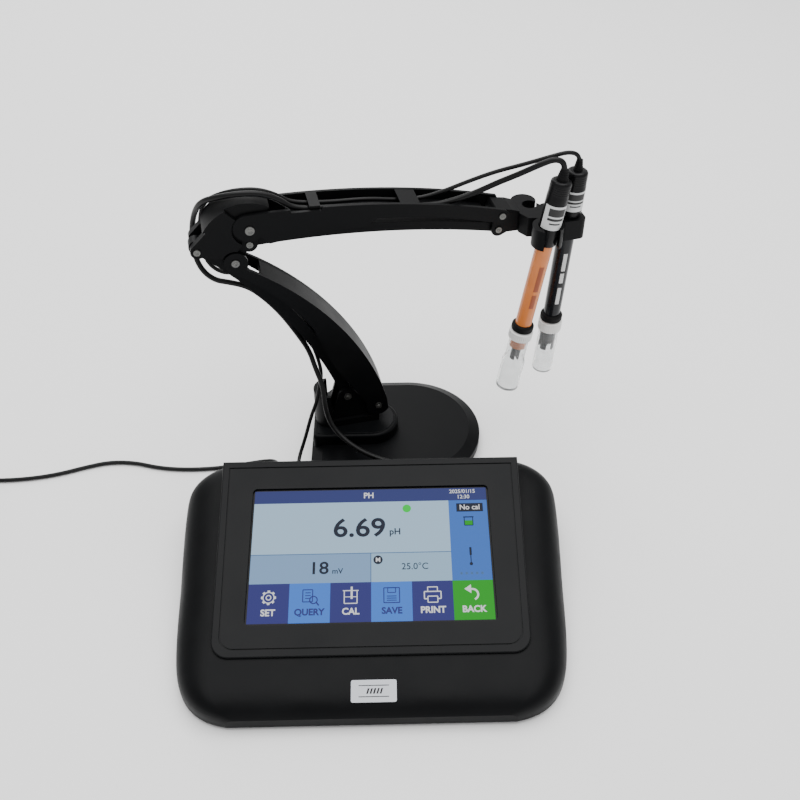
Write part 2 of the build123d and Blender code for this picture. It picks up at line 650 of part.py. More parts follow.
with BuildPart() as elbow_knuckle:
    for depth in (EAR_NEAR + EAR, EAR_FAR):
        with BuildSketch(arm_plane(depth)):
            with BuildLine():
                ThreePointArc(rim_point(60), rim_point(110), rim_point(150))
                Line(rim_point(150), (-98.4, 196.4))
                ThreePointArc((-98.4, 196.4), (-99.5, 191.2), (-93.3, 188.6))
                Line((-93.3, 188.6), (-78.8, 178.4))
                ThreePointArc((-78.8, 178.4), (-72.0, 174.7), (-66.3, 182.2))
                Line((-66.3, 182.2), (-64.6, 187.3))
                ThreePointArc((-64.6, 187.3), (-58.2, 188.9), (-57.2, 194.4))
                Line((-57.2, 194.4), (-50.6, 203))
                Line((-50.6, 203), rim_point(60))
            make_face()
            with Locations(PIVOT_U1, PIVOT_U2, PIVOT_C2, PIVOT_C1):
                Circle(PIN_R, mode=Mode.SUBTRACT)
        extrude(amount=EAR)
    # core between the two plates: the rim and the hub of the upper pivot
    with BuildSketch(arm_plane(EAR_FAR - EAR)):
        with BuildLine():
            ThreePointArc(rim_point(62), rim_point(110), rim_point(150))
            Line(rim_point(150), rim_point(150, RIM_R - 3))
            ThreePointArc(rim_point(150, RIM_R - 3), rim_point(110, RIM_R - 3), rim_point(62, RIM_R - 3))
            Line(rim_point(62, RIM_R - 3), rim_point(62))
        make_face()
        with Locations(PIVOT_U1):
            Circle(6.2)
            Circle(PIN_R, mode=Mode.SUBTRACT)
        with BuildLine():
            Polyline((-66.5, 208.4), (-55.7, 208.4), (-56.5, 218.0), (-68.5, 218.0), close=True)
        make_face()
    extrude(amount=EAR_FAR - EAR_NEAR - 2 * EAR)
    # pads that bring the left part out to the full width of the arm
    for near, far in ((0.0, EAR_NEAR), (EAR_FAR, ARM_WIDTH)):
        with BuildSketch(arm_plane(far)):
            with BuildLine():
                ThreePointArc(rim_point(112), rim_point(130), rim_point(150))
                Line(rim_point(150), (-98.4, 196.4))
                ThreePointArc((-98.4, 196.4), (-99.5, 191.2), (-93.3, 188.6))
                Line((-93.3, 188.6), (-80.4, 185.7))
                ThreePointArc((-80.4, 185.7), (-75.8, 189.5), (-70.7, 189.7))
                Line((-70.7, 189.7), (-66.8, 194.2))
                ThreePointArc((-66.8, 194.2), (-72.3, 202.6), (-69.0, 212.1))
                Line((-69.0, 212.1), rim_point(112))
            make_face()
            with Locations(PIVOT_C1):
                Circle(PIN_R, mode=Mode.SUBTRACT)
        extrude(amount=far - near)
finish(elbow_knuckle, "elbow_knuckle")

with BuildPart() as elbow_rim_cover:
    with BuildSketch(arm_plane(ARM_WIDTH)):
        with BuildLine():
            ThreePointArc(rim_point(112, RIM_R + 1.5), rim_point(130, RIM_R + 1.5),
                          rim_point(149, RIM_R + 1.5))
            Line(rim_point(149, RIM_R + 1.5), rim_point(147, RIM_R))
            ThreePointArc(rim_point(147, RIM_R), rim_point(130, RIM_R), rim_point(112, RIM_R))
            Line(rim_point(112, RIM_R), rim_point(112, RIM_R + 1.5))
        make_face()
    extrude(amount=ARM_WIDTH)
    with BuildSketch(arm_plane(EAR_FAR)):
        with BuildLine():
            ThreePointArc(rim_point(60, RIM_R + 1.5), rim_point(90, RIM_R + 1.5), rim_point(112, RIM_R + 1.5))
            Line(rim_point(112, RIM_R + 1.5), rim_point(112, RIM_R))
            ThreePointArc(rim_point(112, RIM_R), rim_point(90, RIM_R), rim_point(60, RIM_R))
            Line(rim_point(60, RIM_R), rim_point(60, RIM_R + 1.5))
        make_face()
    extrude(amount=EAR_FAR - EAR_NEAR)
    add(elbow_knuckle.part, mode=Mode.SUBTRACT)
finish(elbow_rim_cover, "elbow_rim_cover")

# pins fixed in the knuckle
with BuildPart() as elbow_pins:
    add(stub_pins(PIVOT_C2, 0, ARM_WIDTH, EAR_NEAR + EAR))
    add(long_pin(PIVOT_C1, 0, ARM_WIDTH, head=2.2))
    add(long_pin(PIVOT_U1, 0, ARM_WIDTH, head=3.0))
    add(long_pin(PIVOT_U2, EAR_NEAR, EAR_FAR, head=2.2))
finish(elbow_pins, "elbow_pins")

# ================================================================ upper link
TOP_LEFT, TOP_MID, TOP_RIGHT = (-63.0, 214.4), (22.0, 210.9), (108.5, 194.4)
with BuildPart() as upper_link:
    for depth, right_end in ((CHEEK, 111.5), (ARM_WIDTH, 109.5)):
        with BuildSketch(arm_plane(depth)):
            with BuildLine():
                ThreePointArc(TOP_LEFT, TOP_MID, TOP_RIGHT)
                Line(TOP_RIGHT, (right_end, 191.6))
                ThreePointArc((right_end, 191.6), (110.2, 186.8), (105.4, 184.9))
                ThreePointArc((105.4, 184.9), (64.0, 195.0), (21.0, 200.8))
                Line((21.0, 200.8), (14.0, 196.0))
                ThreePointArc((14.0, 196.0), (-18.4, 195.7), (-49.5, 192.6))
                Line((-49.5, 192.6), (-54.5, 198.7))
                ThreePointArc((-54.5, 198.7), (-61.0, 195.7), (-66.5, 197.6))
                ThreePointArc((-66.5, 197.6), (-71.4, 206.0), TOP_LEFT)
            make_face()
            with Locations(PIVOT_U1, PIVOT_H1):
                Circle(HOLE_R, mode=Mode.SUBTRACT)
        extrude(amount=CHEEK)
    # channel floor under the leads
    with BuildSketch(arm_plane(ARM_WIDTH)):
        with BuildLine():
            ThreePointArc((-36.0, 207.1), (22.0, 203.9), (97.0, 190.2))
            Line((97.0, 190.2), (96.6, 188.4))
            ThreePointArc((96.6, 188.4), (22.0, 202.1), (-36.0, 205.3))
            Line((-36.0, 205.3), (-36.0, 207.1))
        make_face()
    extrude(amount=ARM_WIDTH)
    # dip in the near wall beside the elbow
    with BuildSketch(arm_plane(CHEEK + 0.1)):
        with BuildLine():
            Polyline((-36, 220), (-34, 212.6), (-15, 211.6), (-11, 220), close=True)
        make_face()
    extrude(amount=CHEEK + 0.2, mode=Mode.SUBTRACT)
finish(upper_link, "upper_link")

with BuildPart() as cable_bridges:
    # narrow rib and wide clip that hold the leads down
    for s0, s1, z0, z1 in ((-22.0, -15.0, 214.4, 214.0), (37.0, 50.0, 208.9, 206.9)):
        with BuildSketch(arm_plane(ARM_WIDTH - CHEEK)):
            with BuildLine():
                Polyline((s0, z0), (s1, z1), (s1, z1 - 1.6), (s0, z0 - 1.6), close=True)
            make_face()
        extrude(amount=ARM_WIDTH - 2 * CHEEK)
finish(cable_bridges, "cable_bridges")

with BuildPart() as upper_tie:
    with BuildSketch(arm_plane(TIE_FAR)):
        add(tie_profile(PIVOT_H2, PIVOT_U2, 5.6, 3.1, 4.0))
        with Locations(PIVOT_U2):
            Circle(HOLE_R, mode=Mode.SUBTRACT)
        with Locations(PIVOT_H2):
            Circle(LOOSE_HOLE_R, mode=Mode.SUBTRACT)
    extrude(amount=TIE_FAR - TIE_NEAR)
finish(upper_tie, "upper_tie")

# ==================================================================== holder
HOLDER_LOW = HOLDER_TOP - HOLDER_HEIGHT
PH_SEAT_S = PH_TOP[0] - PH_LEAN * (PH_TOP[2] - HOLDER_TOP)
SPARE_HOLE, SPARE_R = (129.3, 10.5), 5.2
PROBE_HOLE, PROBE_R = (140.6, 2.5), 3.0

with BuildPart() as electrode_holder:
    with BuildSketch(arm_level(HOLDER_LOW)):
        with BuildLine():
            Polyline((119.0, 20.4), (119.0, 0.4), (122.6, -6.5), (132.0, -8.9), (142.0, -10.5))
            Line((142.0, -10.5), (146.0, 6.0))
            ThreePointArc((146.0, 6.0), (141.0, 9.6), (136.0, 8.6))
            Line((136.0, 8.6), (134.0, 12.0))
            ThreePointArc((134.0, 12.0), (127.0, 25.4), (119.0, 20.4))
        make_face()
        with Locations((PH_SEAT_S, PH_TOP[1])):
            RectangleRounded(18.5, 17.5, 4)
    extrude(amount=HOLDER_HEIGHT)
    # arms of the front clip
    with BuildSketch(arm_level(HOLDER_LOW)):
        with Locations((COND_TOP[0] - COND_LEAN * (COND_TOP[2] - HOLDER_LOW - HOLDER_HEIGHT / 2),
                        COND_TOP[1])):
            Circle(CAP_R + 3.2)
    extrude(amount=HOLDER_HEIGHT)
    # neck between the cheeks of the upper link
    with BuildSketch(arm_plane(EAR_FAR)):
        with BuildLine():
            Polyline((120, HOLDER_TOP), (114.0, HOLDER_TOP + 2.2), (103.5, 194.2))
            ThreePointArc((103.5, 194.2), (101.2, 190.0), (101.3, 184.6))
            Line((101.3, 184.6), (100.6, 180.5))
            ThreePointArc((100.6, 180.5), (102.6, 174.4), (108.4, 174.4))
            Polyline((108.4, 174.4), (111.4, HOLDER_LOW), (120, HOLDER_LOW), (120, HOLDER_TOP))
        make_face()
        with Locations(PIVOT_H1, PIVOT_H2):
            Circle(PIN_R, mode=Mode.SUBTRACT)
    extrude(amount=EAR_FAR - EAR_NEAR)
    # slot for the end of the upper tie
    with BuildSketch(arm_plane(TIE_FAR + 0.5)):
        with BuildLine():
            Polyline((95, 185.2), (110.8, 185.2), (110.8, 170), (95, 170), close=True)
        make_face()
    extrude(amount=TIE_FAR - TIE_NEAR + 1.0, mode=Mode.SUBTRACT)
    # seats of both electrodes, along their own axes
    for top, lean, radius in ((PH_TOP, PH_LEAN, TUBE_R + SEAT_CLEARANCE),
                              (COND_TOP, COND_LEAN, CAP_R + SEAT_CLEARANCE)):
        with BuildSketch(electrode_plane(top, lean, 0)):
            Circle(radius)
        extrude(amount=-70, mode=Mode.SUBTRACT)
    # mouth of the front clip
    with BuildSketch(arm_level(HOLDER_LOW - 1)):
        with Locations((COND_TOP[0] - COND_LEAN * 39.4, COND_TOP[1] - 12)):
            Rectangle(10.5, 16)
    extrude(amount=HOLDER_HEIGHT + 2, mode=Mode.SUBTRACT)
    # spare seats
    with BuildSketch(arm_level(HOLDER_LOW)):
        with Locations(SPARE_HOLE):
            Circle(SPARE_R)
        with Locations(PROBE_HOLE):
            Circle(PROBE_R)
    extrude(amount=HOLDER_HEIGHT, mode=Mode.SUBTRACT)
finish(electrode_holder, "electrode_holder")

with BuildPart() as holder_pins:
    add(long_pin(PIVOT_H1, 0, ARM_WIDTH, head=2.2))
    add(long_pin(PIVOT_H2, EAR_NEAR, EAR_FAR, head=2.2))
finish(holder_pins, "holder_pins")

# ================================================================ electrodes
print("electrodes")


def turned(top, lean, sections):
    """Round body of stacked (from, to, radius) lengths down an electrode's axis."""
    with BuildPart(mode=Mode.PRIVATE) as body:
        for start, end, radius in sections:
            with BuildSketch(electrode_plane(top, lean, start)):
                Circle(radius)
            extrude(amount=-(end - start))
    return body.part


PH_TUBE_END = 144.0
PH_RING, PH_BOTTLE_CAP, PH_BOTTLE_BASE = (113.0, 118.5), (118.8, 127.0), 164.8
PH_CAP_END = PH_TOP[2] - HOLDER_TOP - 0.5

with BuildPart() as ph_cap:
    add(turned(PH_TOP, PH_LEAN, [(0, 12, CAP_R - 0.2)]))
    add(turned(PH_TOP, PH_LEAN, [(12, PH_CAP_END - 0.4, CAP_R)]))
    fillet(ph_cap.edges().group_by(Axis.Z)[-1], radius=1.6)
finish(ph_cap, "ph_cap")

with BuildPart() as ph_strain_relief:
    with BuildSketch(electrode_plane(PH_TOP, PH_LEAN, 0)):
        Circle(3.0)
    with BuildSketch(electrode_plane(PH_TOP, PH_LEAN, -3.5)):
        Circle(2.0)
    loft()
finish(ph_strain_relief, "ph_strain_relief")

with BuildPart() as ph_tube:
    add(turned(PH_TOP, PH_LEAN, [(PH_CAP_END - 0.4, PH_TUBE_END - 14, TUBE_R)]))
    add(turned(PH_TOP, PH_LEAN, [(PH_TUBE_END - 14, PH_TUBE_END, TUBE_R - 0.3)]))
    # slots between the prongs of the bulb guard
    with BuildSketch(electrode_plane(PH_TOP, PH_LEAN, PH_TUBE_END - 6)):
        Rectangle(4, 16)
        Rectangle(16, 4)
    extrude(amount=-8, mode=Mode.SUBTRACT)
    with BuildSketch(electrode_plane(PH_TOP, PH_LEAN, PH_TUBE_END - 8)):
        Circle(4.4)
    extrude(amount=-10, mode=Mode.SUBTRACT)
finish(ph_tube, "ph_tube")

with BuildPart() as ph_bulb:
    add(turned(PH_TOP, PH_LEAN, [(PH_TUBE_END - 8, PH_TUBE_END - 5, 2.6)]))
    with Locations(electrode_plane(PH_TOP, PH_LEAN, PH_TUBE_END - 3.6)):
        Sphere(3.2)
finish(ph_bulb, "ph_bulb")

with BuildPart() as ph_ring:
    with BuildSketch(electrode_plane(PH_TOP, PH_LEAN, PH_RING[0])):
        Circle(8.0)
        Circle(TUBE_R, mode=Mode.SUBTRACT)
    extrude(amount=-(PH_RING[1] - PH_RING[0]))
    fillet(ph_ring.edges().filter_by(GeomType.CIRCLE).filter_by(lambda e: e.radius > 7), radius=1.6)
finish(ph_ring, "ph_ring")

with BuildPart() as ph_bottle_cap:
    with BuildSketch(electrode_plane(PH_TOP, PH_LEAN, PH_BOTTLE_CAP[0])):
        Circle(8.6)
        Circle(TUBE_R + 0.3, mode=Mode.SUBTRACT)
    extrude(amount=-(PH_BOTTLE_CAP[1] - PH_BOTTLE_CAP[0]))
finish(ph_bottle_cap, "ph_bottle_cap")

with BuildPart() as ph_bottle:
    with BuildSketch(electrode_plane(PH_TOP, PH_LEAN, PH_BOTTLE_CAP[1])):
        Circle(7.4)
    extrude(amount=-(PH_BOTTLE_BASE - PH_BOTTLE_CAP[1]))
    with BuildSketch(electrode_plane(PH_TOP, PH_LEAN, PH_BOTTLE_CAP[1])):
        Circle(TUBE_R + 0.35)
    extrude(amount=-(PH_BOTTLE_BASE - PH_BOTTLE_CAP[1] - 1.4), mode=Mode.SUBTRACT)
    fillet(ph_bottle.edges().group_by(Axis.Z)[0], radius=1.2)
finish(ph_bottle, "ph_bottle")

COND_CAP_END, COND_TUBE_END, COND_CELL_END = 46.5, 132.0, 143.5
COND_RING, COND_BOTTLE_CAP, COND_BOTTLE_BASE = (112.0, 117.5), (117.8, 124.5), 169.0
COND_SHOULDER = 146.0

with BuildPart() as cond_cap:
    add(turned(COND_TOP, COND_LEAN, [(0, 10, CAP_R - 0.2)]))
    add(turned(COND_TOP, COND_LEAN, [(10, COND_CAP_END, CAP_R)]))
    fillet(cond_cap.edges().group_by(Axis.Z)[-1], radius=2.4)
finish(cond_cap, "cond_cap")

with BuildPart() as cond_strain_relief:
    with BuildSketch(electrode_plane(COND_TOP, COND_LEAN, 0)):
        Circle(3.6)
    with BuildSketch(electrode_plane(COND_TOP, COND_LEAN, -3.5)):
        Circle(2.5)
    loft()
finish(cond_strain_relief, "cond_strain_relief")

with BuildPart() as cond_tube:
    add(turned(COND_TOP, COND_LEAN, [(COND_CAP_END, COND_TUBE_END, TUBE_R - 0.1)]))
finish(cond_tube, "cond_tube")

with BuildPart() as cond_cell:
    add(turned(COND_TOP, COND_LEAN, [(COND_TUBE_END, COND_CELL_END, 3.4)]))
    with BuildSketch(electrode_plane(COND_TOP, COND_LEAN, COND_TUBE_END + 5)):
        Rectangle(2.6, 12)
    extrude(amount=-(COND_CELL_END - COND_TUBE_END - 5), mode=Mode.SUBTRACT)
finish(cond_cell, "cond_cell")

with BuildPart() as cond_ring:
    with BuildSketch(electrode_plane(COND_TOP, COND_LEAN, COND_RING[0])):
        Circle(8.0)
        Circle(TUBE_R - 0.1, mode=Mode.SUBTRACT)
    extrude(amount=-(COND_RING[1] - COND_RING[0]))
    fillet(cond_ring.edges().filter_by(GeomType.CIRCLE).filter_by(lambda e: e.radius > 7), radius=1.6)
finish(cond_ring, "cond_ring")

with BuildPart() as cond_bottle_cap:
    with BuildSketch(electrode_plane(COND_TOP, COND_LEAN, COND_BOTTLE_CAP[0])):
        Circle(8.6)
        Circle(TUBE_R + 0.3, mode=Mode.SUBTRACT)
    extrude(amount=-(COND_BOTTLE_CAP[1] - COND_BOTTLE_CAP[0]))
finish(cond_bottle_cap, "cond_bottle_cap")

with BuildPart() as cond_bottle:
    # neck, sloping shoulder and body
    axis_plane = electrode_plane(COND_TOP, COND_LEAN, COND_BOTTLE_CAP[1])
    neck_end, base_end = COND_SHOULDER - COND_BOTTLE_CAP[1], COND_BOTTLE_BASE - COND_BOTTLE_CAP[1]
    section = Plane(origin=axis_plane.origin, x_dir=axis_plane.x_dir, z_dir=axis_plane.y_dir)
    with BuildSketch(section):
        with BuildLine():
            Polyline((TUBE_R + 0.3, 0), (7.2, 0), (7.2, neck_end - 5), (8.4, neck_end - 1))
            Polyline((8.4, neck_end - 1), (8.4, base_end), (0, base_end), (0, base_end - 1.4))
            Polyline((0, base_end - 1.4), (7.2, base_end - 1.4), (7.2, neck_end),
                     (TUBE_R + 0.3, neck_end - 4),
                     (TUBE_R + 0.3, 0))
        make_face()
    revolve(axis=Axis(axis_plane.origin, axis_plane.z_dir))
finish(cond_bottle, "cond_bottle")

# ===================================================================== leads
print("leads: bend radii")


def lead_path(points, name):
    """Straight runs joined by the largest tangent arcs that the runs allow."""
    spots = [Vector(*p) for p in points]
    radii = []
    for before, here, after in zip(spots, spots[1:], spots[2:]):
        turn = (here - before).get_angle(after - here)
        run = min((here - before).length, (after - here).length)
        radii.append(0.45 * run / tan(radians(turn) / 2))
    print(" ", name, "smallest", round(min(radii), 1), "of", len(radii), "bends")
    return FilletPolyline(*[tuple(p) for p in spots], radius=radii)


def lead(points, radius, name):
    """A tube along a route."""
    with BuildPart(mode=Mode.PRIVATE) as tube:
        with BuildLine() as route:
            lead_path(points, name)
        path = route.wire()
        with BuildSketch(Plane(origin=path @ 0, z_dir=path % 0)):
            Circle(radius)
        sweep(path=path)
    ratio = tube.part.volume / (pi * radius**2 * path.length)
    print("    length", round(path.length, 1), "volume ratio", round(ratio, 3))
    return tube.part


def in_arm(points):
    return [arm_vector(*p) for p in points]


# s, t, z along the arm, from the electrodes to the elbow and down to the stand
PH_ARC = [(153.0, -9, 226.6), (152.8, -9, 232.6), (146.0, -8, 236.0), (134.4, -6, 233.2),
          (118.8, -1.6, 227.6), (101.2, 4, 221.8), (84, 8.2, 214.8), (68, 11.8, 207.6), (54, 13.8, 203.6)]
COND_ARC = [(138.8, -18, 226.1), (139.4, -18, 233.2), (133.2, -16.6, 237.0), (124, -14, 232.8),
            (112.5, -8.4, 224.8), (100.8, -0.8, 216.2), (88.5, 4.2, 208.2), (75, 6.2, 203.4),
            (61, 6.4, 201.6)]
PH_CHANNEL = [(53, 13.9, 203.4), (37, 14.6, 204.2), (17, 13.6, 208.4), (-8, 13.0, 209.6), (-31, 13.8, 211.4)]
COND_CHANNEL = [(60, 6.4, 201.5), (42, 6.8, 203.2), (20, 7.6, 206.6), (-4, 7.6, 208.4), (-30, 7.4, 210.2)]
PH_ELBOW = [(-32.4, 13.8, 212.1), (-41, 13.6, 219.4), (-52, 13.4, 224.6), (-64, 14.0, 225.6),
            (-75.5, 17.5, 222.6), (-85.8, 23.5, 215.6), (-90.5, 28.2, 202.5), (-92.0, 28.6, 188.0),
            (-92.6, 27.4, 175.6), (-89.0, 24.6, 166.4), (-82.0, 21.4, 162.0), (-74.6, 19.2, 162.2),
            (-67.5, 18.0, 160.6)]
COND_ELBOW = [(-31.5, 7.4, 210.9), (-40.5, 7.2, 219.6), (-51.5, 6.8, 225.2), (-64, 7.0, 226.6),
              (-76.5, 11.0, 223.9), (-88.3, 19.6, 217.6), (-93.8, 29.6, 204.6), (-97.2, 32.8, 190.5),
              (-98.6, 31.4, 176.0), (-96.0, 27.6, 163.4), (-88.4, 22.6, 156.2), (-77.6, 18.2, 155.4),
              (-67.8, 16.0, 152.8)]
PH_LOWER = [(-66.4, 18.1, 159.9), (-56, 18.6, 148.6), (-44.6, 18.8, 132.2), (-34.2, 18.9, 113.4),
            (-26.6, 19.0, 93.0)]
COND_LOWER = [(-66.5, 15.9, 151.8), (-57, 15.6, 141.6), (-46.6, 15.5, 126.4), (-37.4, 15.6, 107.6),
              (-29.4, 15.5, 89.5)]
# base: the first points in s, t, z, the rest in row coordinates down to the plugs
PH_BASE = in_arm([(-26.4, 19.0, 92.0), (-23.0, 18.6, 77.0), (-21.8, 14.4, 66.0), (-25.6, 6.2, 60.2)]) + [
    (-40.8, 146.8, 52.0), (-45.6, 141.6, 41.6), (-49.0, 136.0, 31.4), (-52.4, 130.4, 22.6),
    (-55.4, 124.2, 16.4), (-56.0, 117.6, 14.2)]
COND_BASE = in_arm([(-29.2, 15.4, 88.6), (-26.6, 11.6, 75.0)]) + [
    (-35.4, 149.4, 65.0), (-34.6, 141.6, 52.6), (-31.4, 136.4, 39.6), (-22.4, 129.6, 30.6),
    (-10.2, 120.6, 26.6), (4.0, 112.8, 24.6), (22.0, 109.0, 21.6), (43.0, 108.2, 19.0),
    (61.0, 108.8, 16.6), (76.0, 109.5, 14.6), (88.4, 109.5, 14.0)]

for label, ph_route, cond_route in (("lead_arcs", in_arm(PH_ARC), in_arm(COND_ARC)),
                                    ("channel_leads", in_arm(PH_CHANNEL), in_arm(COND_CHANNEL)),
                                    ("elbow_leads", in_arm(PH_ELBOW), in_arm(COND_ELBOW)),
                                    ("lower_leads", in_arm(PH_LOWER), in_arm(COND_LOWER)),
                                    ("base_leads", PH_BASE, COND_BASE)):
    with BuildPart() as leads:
        add(lead(ph_route, PH_LEAD_R, label + " ph"))
        add(lead(cond_route, COND_LEAD_R, label + " conductivity"))
    finish(leads, label)

# plugs on the instrument's back
with BuildPart() as ph_plug:
    with BuildSketch(rear_plane(METER_REAR + 16)):
        with Locations((-PH_SOCKET_X, SOCKET_HEIGHT)):
            Circle(6.6)
    extrude(amount=-15)
    with BuildSketch(rear_plane(METER_REAR + 8.2)):
        with Locations((-PH_SOCKET_X, SOCKET_HEIGHT)):
            Circle(4.85)
    extrude(amount=-8, mode=Mode.SUBTRACT)
    fillet(ph_plug.edges().group_by(Axis.Y)[-1], radius=1.2)
    with BuildSketch(rear_plane(METER_REAR + 16)):
        with Locations((-PH_SOCKET_X, SOCKET_HEIGHT)):
            Circle(3.0)
    extrude(amount=3.5)
finish(ph_plug, "ph_plug")

with BuildPart() as cond_plug:
    with BuildSketch(rear_plane(METER_REAR + 17)):
        with Locations((-PROBE_SOCKET_X, SOCKET_HEIGHT)):
            Circle(6.6)
    extrude(amount=-16)
    with BuildSketch(rear_plane(METER_REAR + 8.2)):
        with Locations((-PROBE_SOCKET_X, SOCKET_HEIGHT)):
            Circle(4.85)
    extrude(amount=-8, mode=Mode.SUBTRACT)
    fillet(cond_plug.edges().group_by(Axis.Y)[-1], radius=1.2)
    with BuildSketch(Plane(origin=(PROBE_SOCKET_X - 4, 109.5, SOCKET_HEIGHT), z_dir=(-1, 0, 0))):
        Circle(3.2)
    extrude(amount=5.4)
finish(cond_plug, "cond_plug")

# ================================================================ power cord
CORD_Z = POWER_CORD_R + 0.1
COIL_CENTRE, COIL_MEAN, COIL_WIDE, COIL_HIGH = (-313.0, 100.0), 18.0, 9.8, 13.2
CORD_ROUTE = [(-72.0, 118.9, 12.4), (-72.8, 126.6, 8.6), (-79.0, 132.6, 4.4), (-90.5, 133.2, 2.2),
              (-105.0, 130.4, CORD_Z), (-124.0, 127.6, CORD_Z), (-146.0, 127.2, CORD_Z),
              (-166.0, 129.8, CORD_Z), (-184.0, 135.6, CORD_Z), (-204.0, 136.8, CORD_Z),
              (-222.0, 131.6, CORD_Z), (-240.0, 125.0, CORD_Z), (-260.0, 120.9, CORD_Z),
              (-282.0, 119.4, CORD_Z), (-304.0, 120.6, CORD_Z)]
TAIL_ROUTE = [(-333.4, 92.0, 5.2), (-333.8, 83.5, 7.0), (-331.0, 75.0, 9.6), (-330.0, 67.3, 11.0)]
ADAPTER_CENTRE, ADAPTER_SIZE = (-322.0, 28.0), (44.0, 62.0, 30.0)

with BuildPart() as power_cord_coil:
    with BuildSketch(Plane(origin=(*COIL_CENTRE, 0), x_dir=(1, 0, 0), z_dir=(0, -1, 0))):
        with Locations((COIL_MEAN, COIL_HIGH / 2 + 0.05)):
            RectangleRounded(COIL_WIDE, COIL_HIGH, 1.5)
    revolve(axis=Axis((*COIL_CENTRE, 0), (0, 0, 1)))
finish(power_cord_coil, "power_cord_coil")
with BuildPart() as power_cord:
    add(lead(CORD_ROUTE, POWER_CORD_R, "power cord"))
    add(lead(TAIL_ROUTE, POWER_CORD_R, "power cord tail"))
    add(power_cord_coil.part, mode=Mode.SUBTRACT)
finish(power_cord, "power_cord")

with BuildPart() as dc_plug:
    with BuildSketch(rear_plane(METER_REAR + 0.4)):
        with Locations((-JACK_X, SOCKET_HEIGHT)):
            Circle(4.6)
    with BuildSketch(rear_plane(METER_REAR + 12)):
        with Locations((-JACK_X, SOCKET_HEIGHT - 0.4)):
            Circle(4.2)
    loft()
    with BuildSketch(rear_plane(METER_REAR + 12)):
        with Locations((-JACK_X, SOCKET_HEIGHT - 0.4)):
            Circle(3.4)
    with BuildSketch(rear_plane(METER_REAR + 20.4)):
        with Locations((-JACK_X, SOCKET_HEIGHT - 1.3)):
            Circle(2.0)
    loft()
    with BuildSketch(rear_plane(METER_REAR + 0.4)):
        with Locations((-JACK_X, SOCKET_HEIGHT)):
            Circle(2.7)
            Circle(1.1, mode=Mode.SUBTRACT)
    extrude(amount=-9)
finish(dc_plug, "dc_plug")

with BuildPart() as power_adapter:
    with BuildSketch(Plane.XY):
        with Locations(ADAPTER_CENTRE):
            RectangleRounded(ADAPTER_SIZE[0], ADAPTER_SIZE[1], 6)
    extrude(amount=ADAPTER_SIZE[2])
    fillet(power_adapter.edges().group_by(Axis.Z)[-1], radius=3)
    fillet(power_adapter.edges().group_by(Axis.Z)[0], radius=1.5)
    with BuildSketch(rear_plane(ADAPTER_CENTRE[1] + ADAPTER_SIZE[1] / 2)):
        with Locations((330.0, 11.0)):
            Circle(3.2)
    with BuildSketch(rear_plane(ADAPTER_CENTRE[1] + ADAPTER_SIZE[1] / 2 + 8)):
        with Locations((330.0, 11.0)):
            Circle(2.0)
    loft()
finish(power_adapter, "power_adapter")

with BuildPart() as adapter_prongs:
    with BuildSketch(Plane(origin=(0, ADAPTER_CENTRE[1] - ADAPTER_SIZE[1] / 2, 0), x_dir=(1, 0, 0),
                           z_dir=(0, -1, 0))):
        for side in (-1, 1):
            with Locations((ADAPTER_CENTRE[0] + side * 6.35, 15)):
                Rectangle(1.5, 6.3)
    extrude(amount=16)
finish(adapter_prongs, "adapter_prongs")
print("done")
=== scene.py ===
import bpy
import bmesh
import json
from math import atan2, cos, sin, pi, radians
from mathutils import Matrix, Vector


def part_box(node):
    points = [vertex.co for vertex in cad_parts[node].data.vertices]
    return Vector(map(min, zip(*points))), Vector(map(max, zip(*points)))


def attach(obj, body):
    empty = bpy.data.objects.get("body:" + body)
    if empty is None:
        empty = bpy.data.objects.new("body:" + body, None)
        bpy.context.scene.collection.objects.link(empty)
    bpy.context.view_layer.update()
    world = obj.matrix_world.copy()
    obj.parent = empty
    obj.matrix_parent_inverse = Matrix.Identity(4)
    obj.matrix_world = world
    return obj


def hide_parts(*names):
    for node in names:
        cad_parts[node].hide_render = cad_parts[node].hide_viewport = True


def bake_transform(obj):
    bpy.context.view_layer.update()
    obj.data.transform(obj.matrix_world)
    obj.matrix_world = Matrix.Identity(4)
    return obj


# Looks of a bench pH meter with an electrode arm: materials, leads, labels and the lit display.
# Lengths are in millimetres unless a name says otherwise, and MM turns them into metres.

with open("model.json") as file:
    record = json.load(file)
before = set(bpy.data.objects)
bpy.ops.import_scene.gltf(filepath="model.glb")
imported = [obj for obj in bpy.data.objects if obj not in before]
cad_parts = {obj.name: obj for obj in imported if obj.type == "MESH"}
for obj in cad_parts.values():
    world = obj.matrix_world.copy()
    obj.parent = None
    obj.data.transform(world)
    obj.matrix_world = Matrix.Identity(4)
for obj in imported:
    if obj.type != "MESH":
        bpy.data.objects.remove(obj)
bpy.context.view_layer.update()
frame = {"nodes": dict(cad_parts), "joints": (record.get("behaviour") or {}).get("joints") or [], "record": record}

# ---------------------------------------------------------------- the frame
joints = {j["name"]: j for j in frame["joints"]}
MM = 0.001
DEPTH = Vector(joints["lower_arm_tilt"]["axis"])          # across the arm, away from its near face
ALONG = Vector((DEPTH.y, -DEPTH.x, 0))                    # along the arm, to its right
SWIVEL_DEPTH = 12.0
ARM_ORIGIN = Vector(joints["base_swivel"]["pos_m"]) - SWIVEL_DEPTH * MM * DEPTH
ARM_ORIGIN.z = 0
SCREEN_TILT = radians(16.4)
SCREEN_X, SCREEN_Y = Vector((1, 0, 0)), Vector((0, cos(SCREEN_TILT), sin(SCREEN_TILT)))
SCREEN_UP = Vector((0, -sin(SCREEN_TILT), cos(SCREEN_TILT)))
LIP = 1.6
PANEL_CENTRE = Vector((0, 9.5, 45.0)) * MM
GLASS_CENTRE = PANEL_CENTRE - LIP * MM * SCREEN_UP


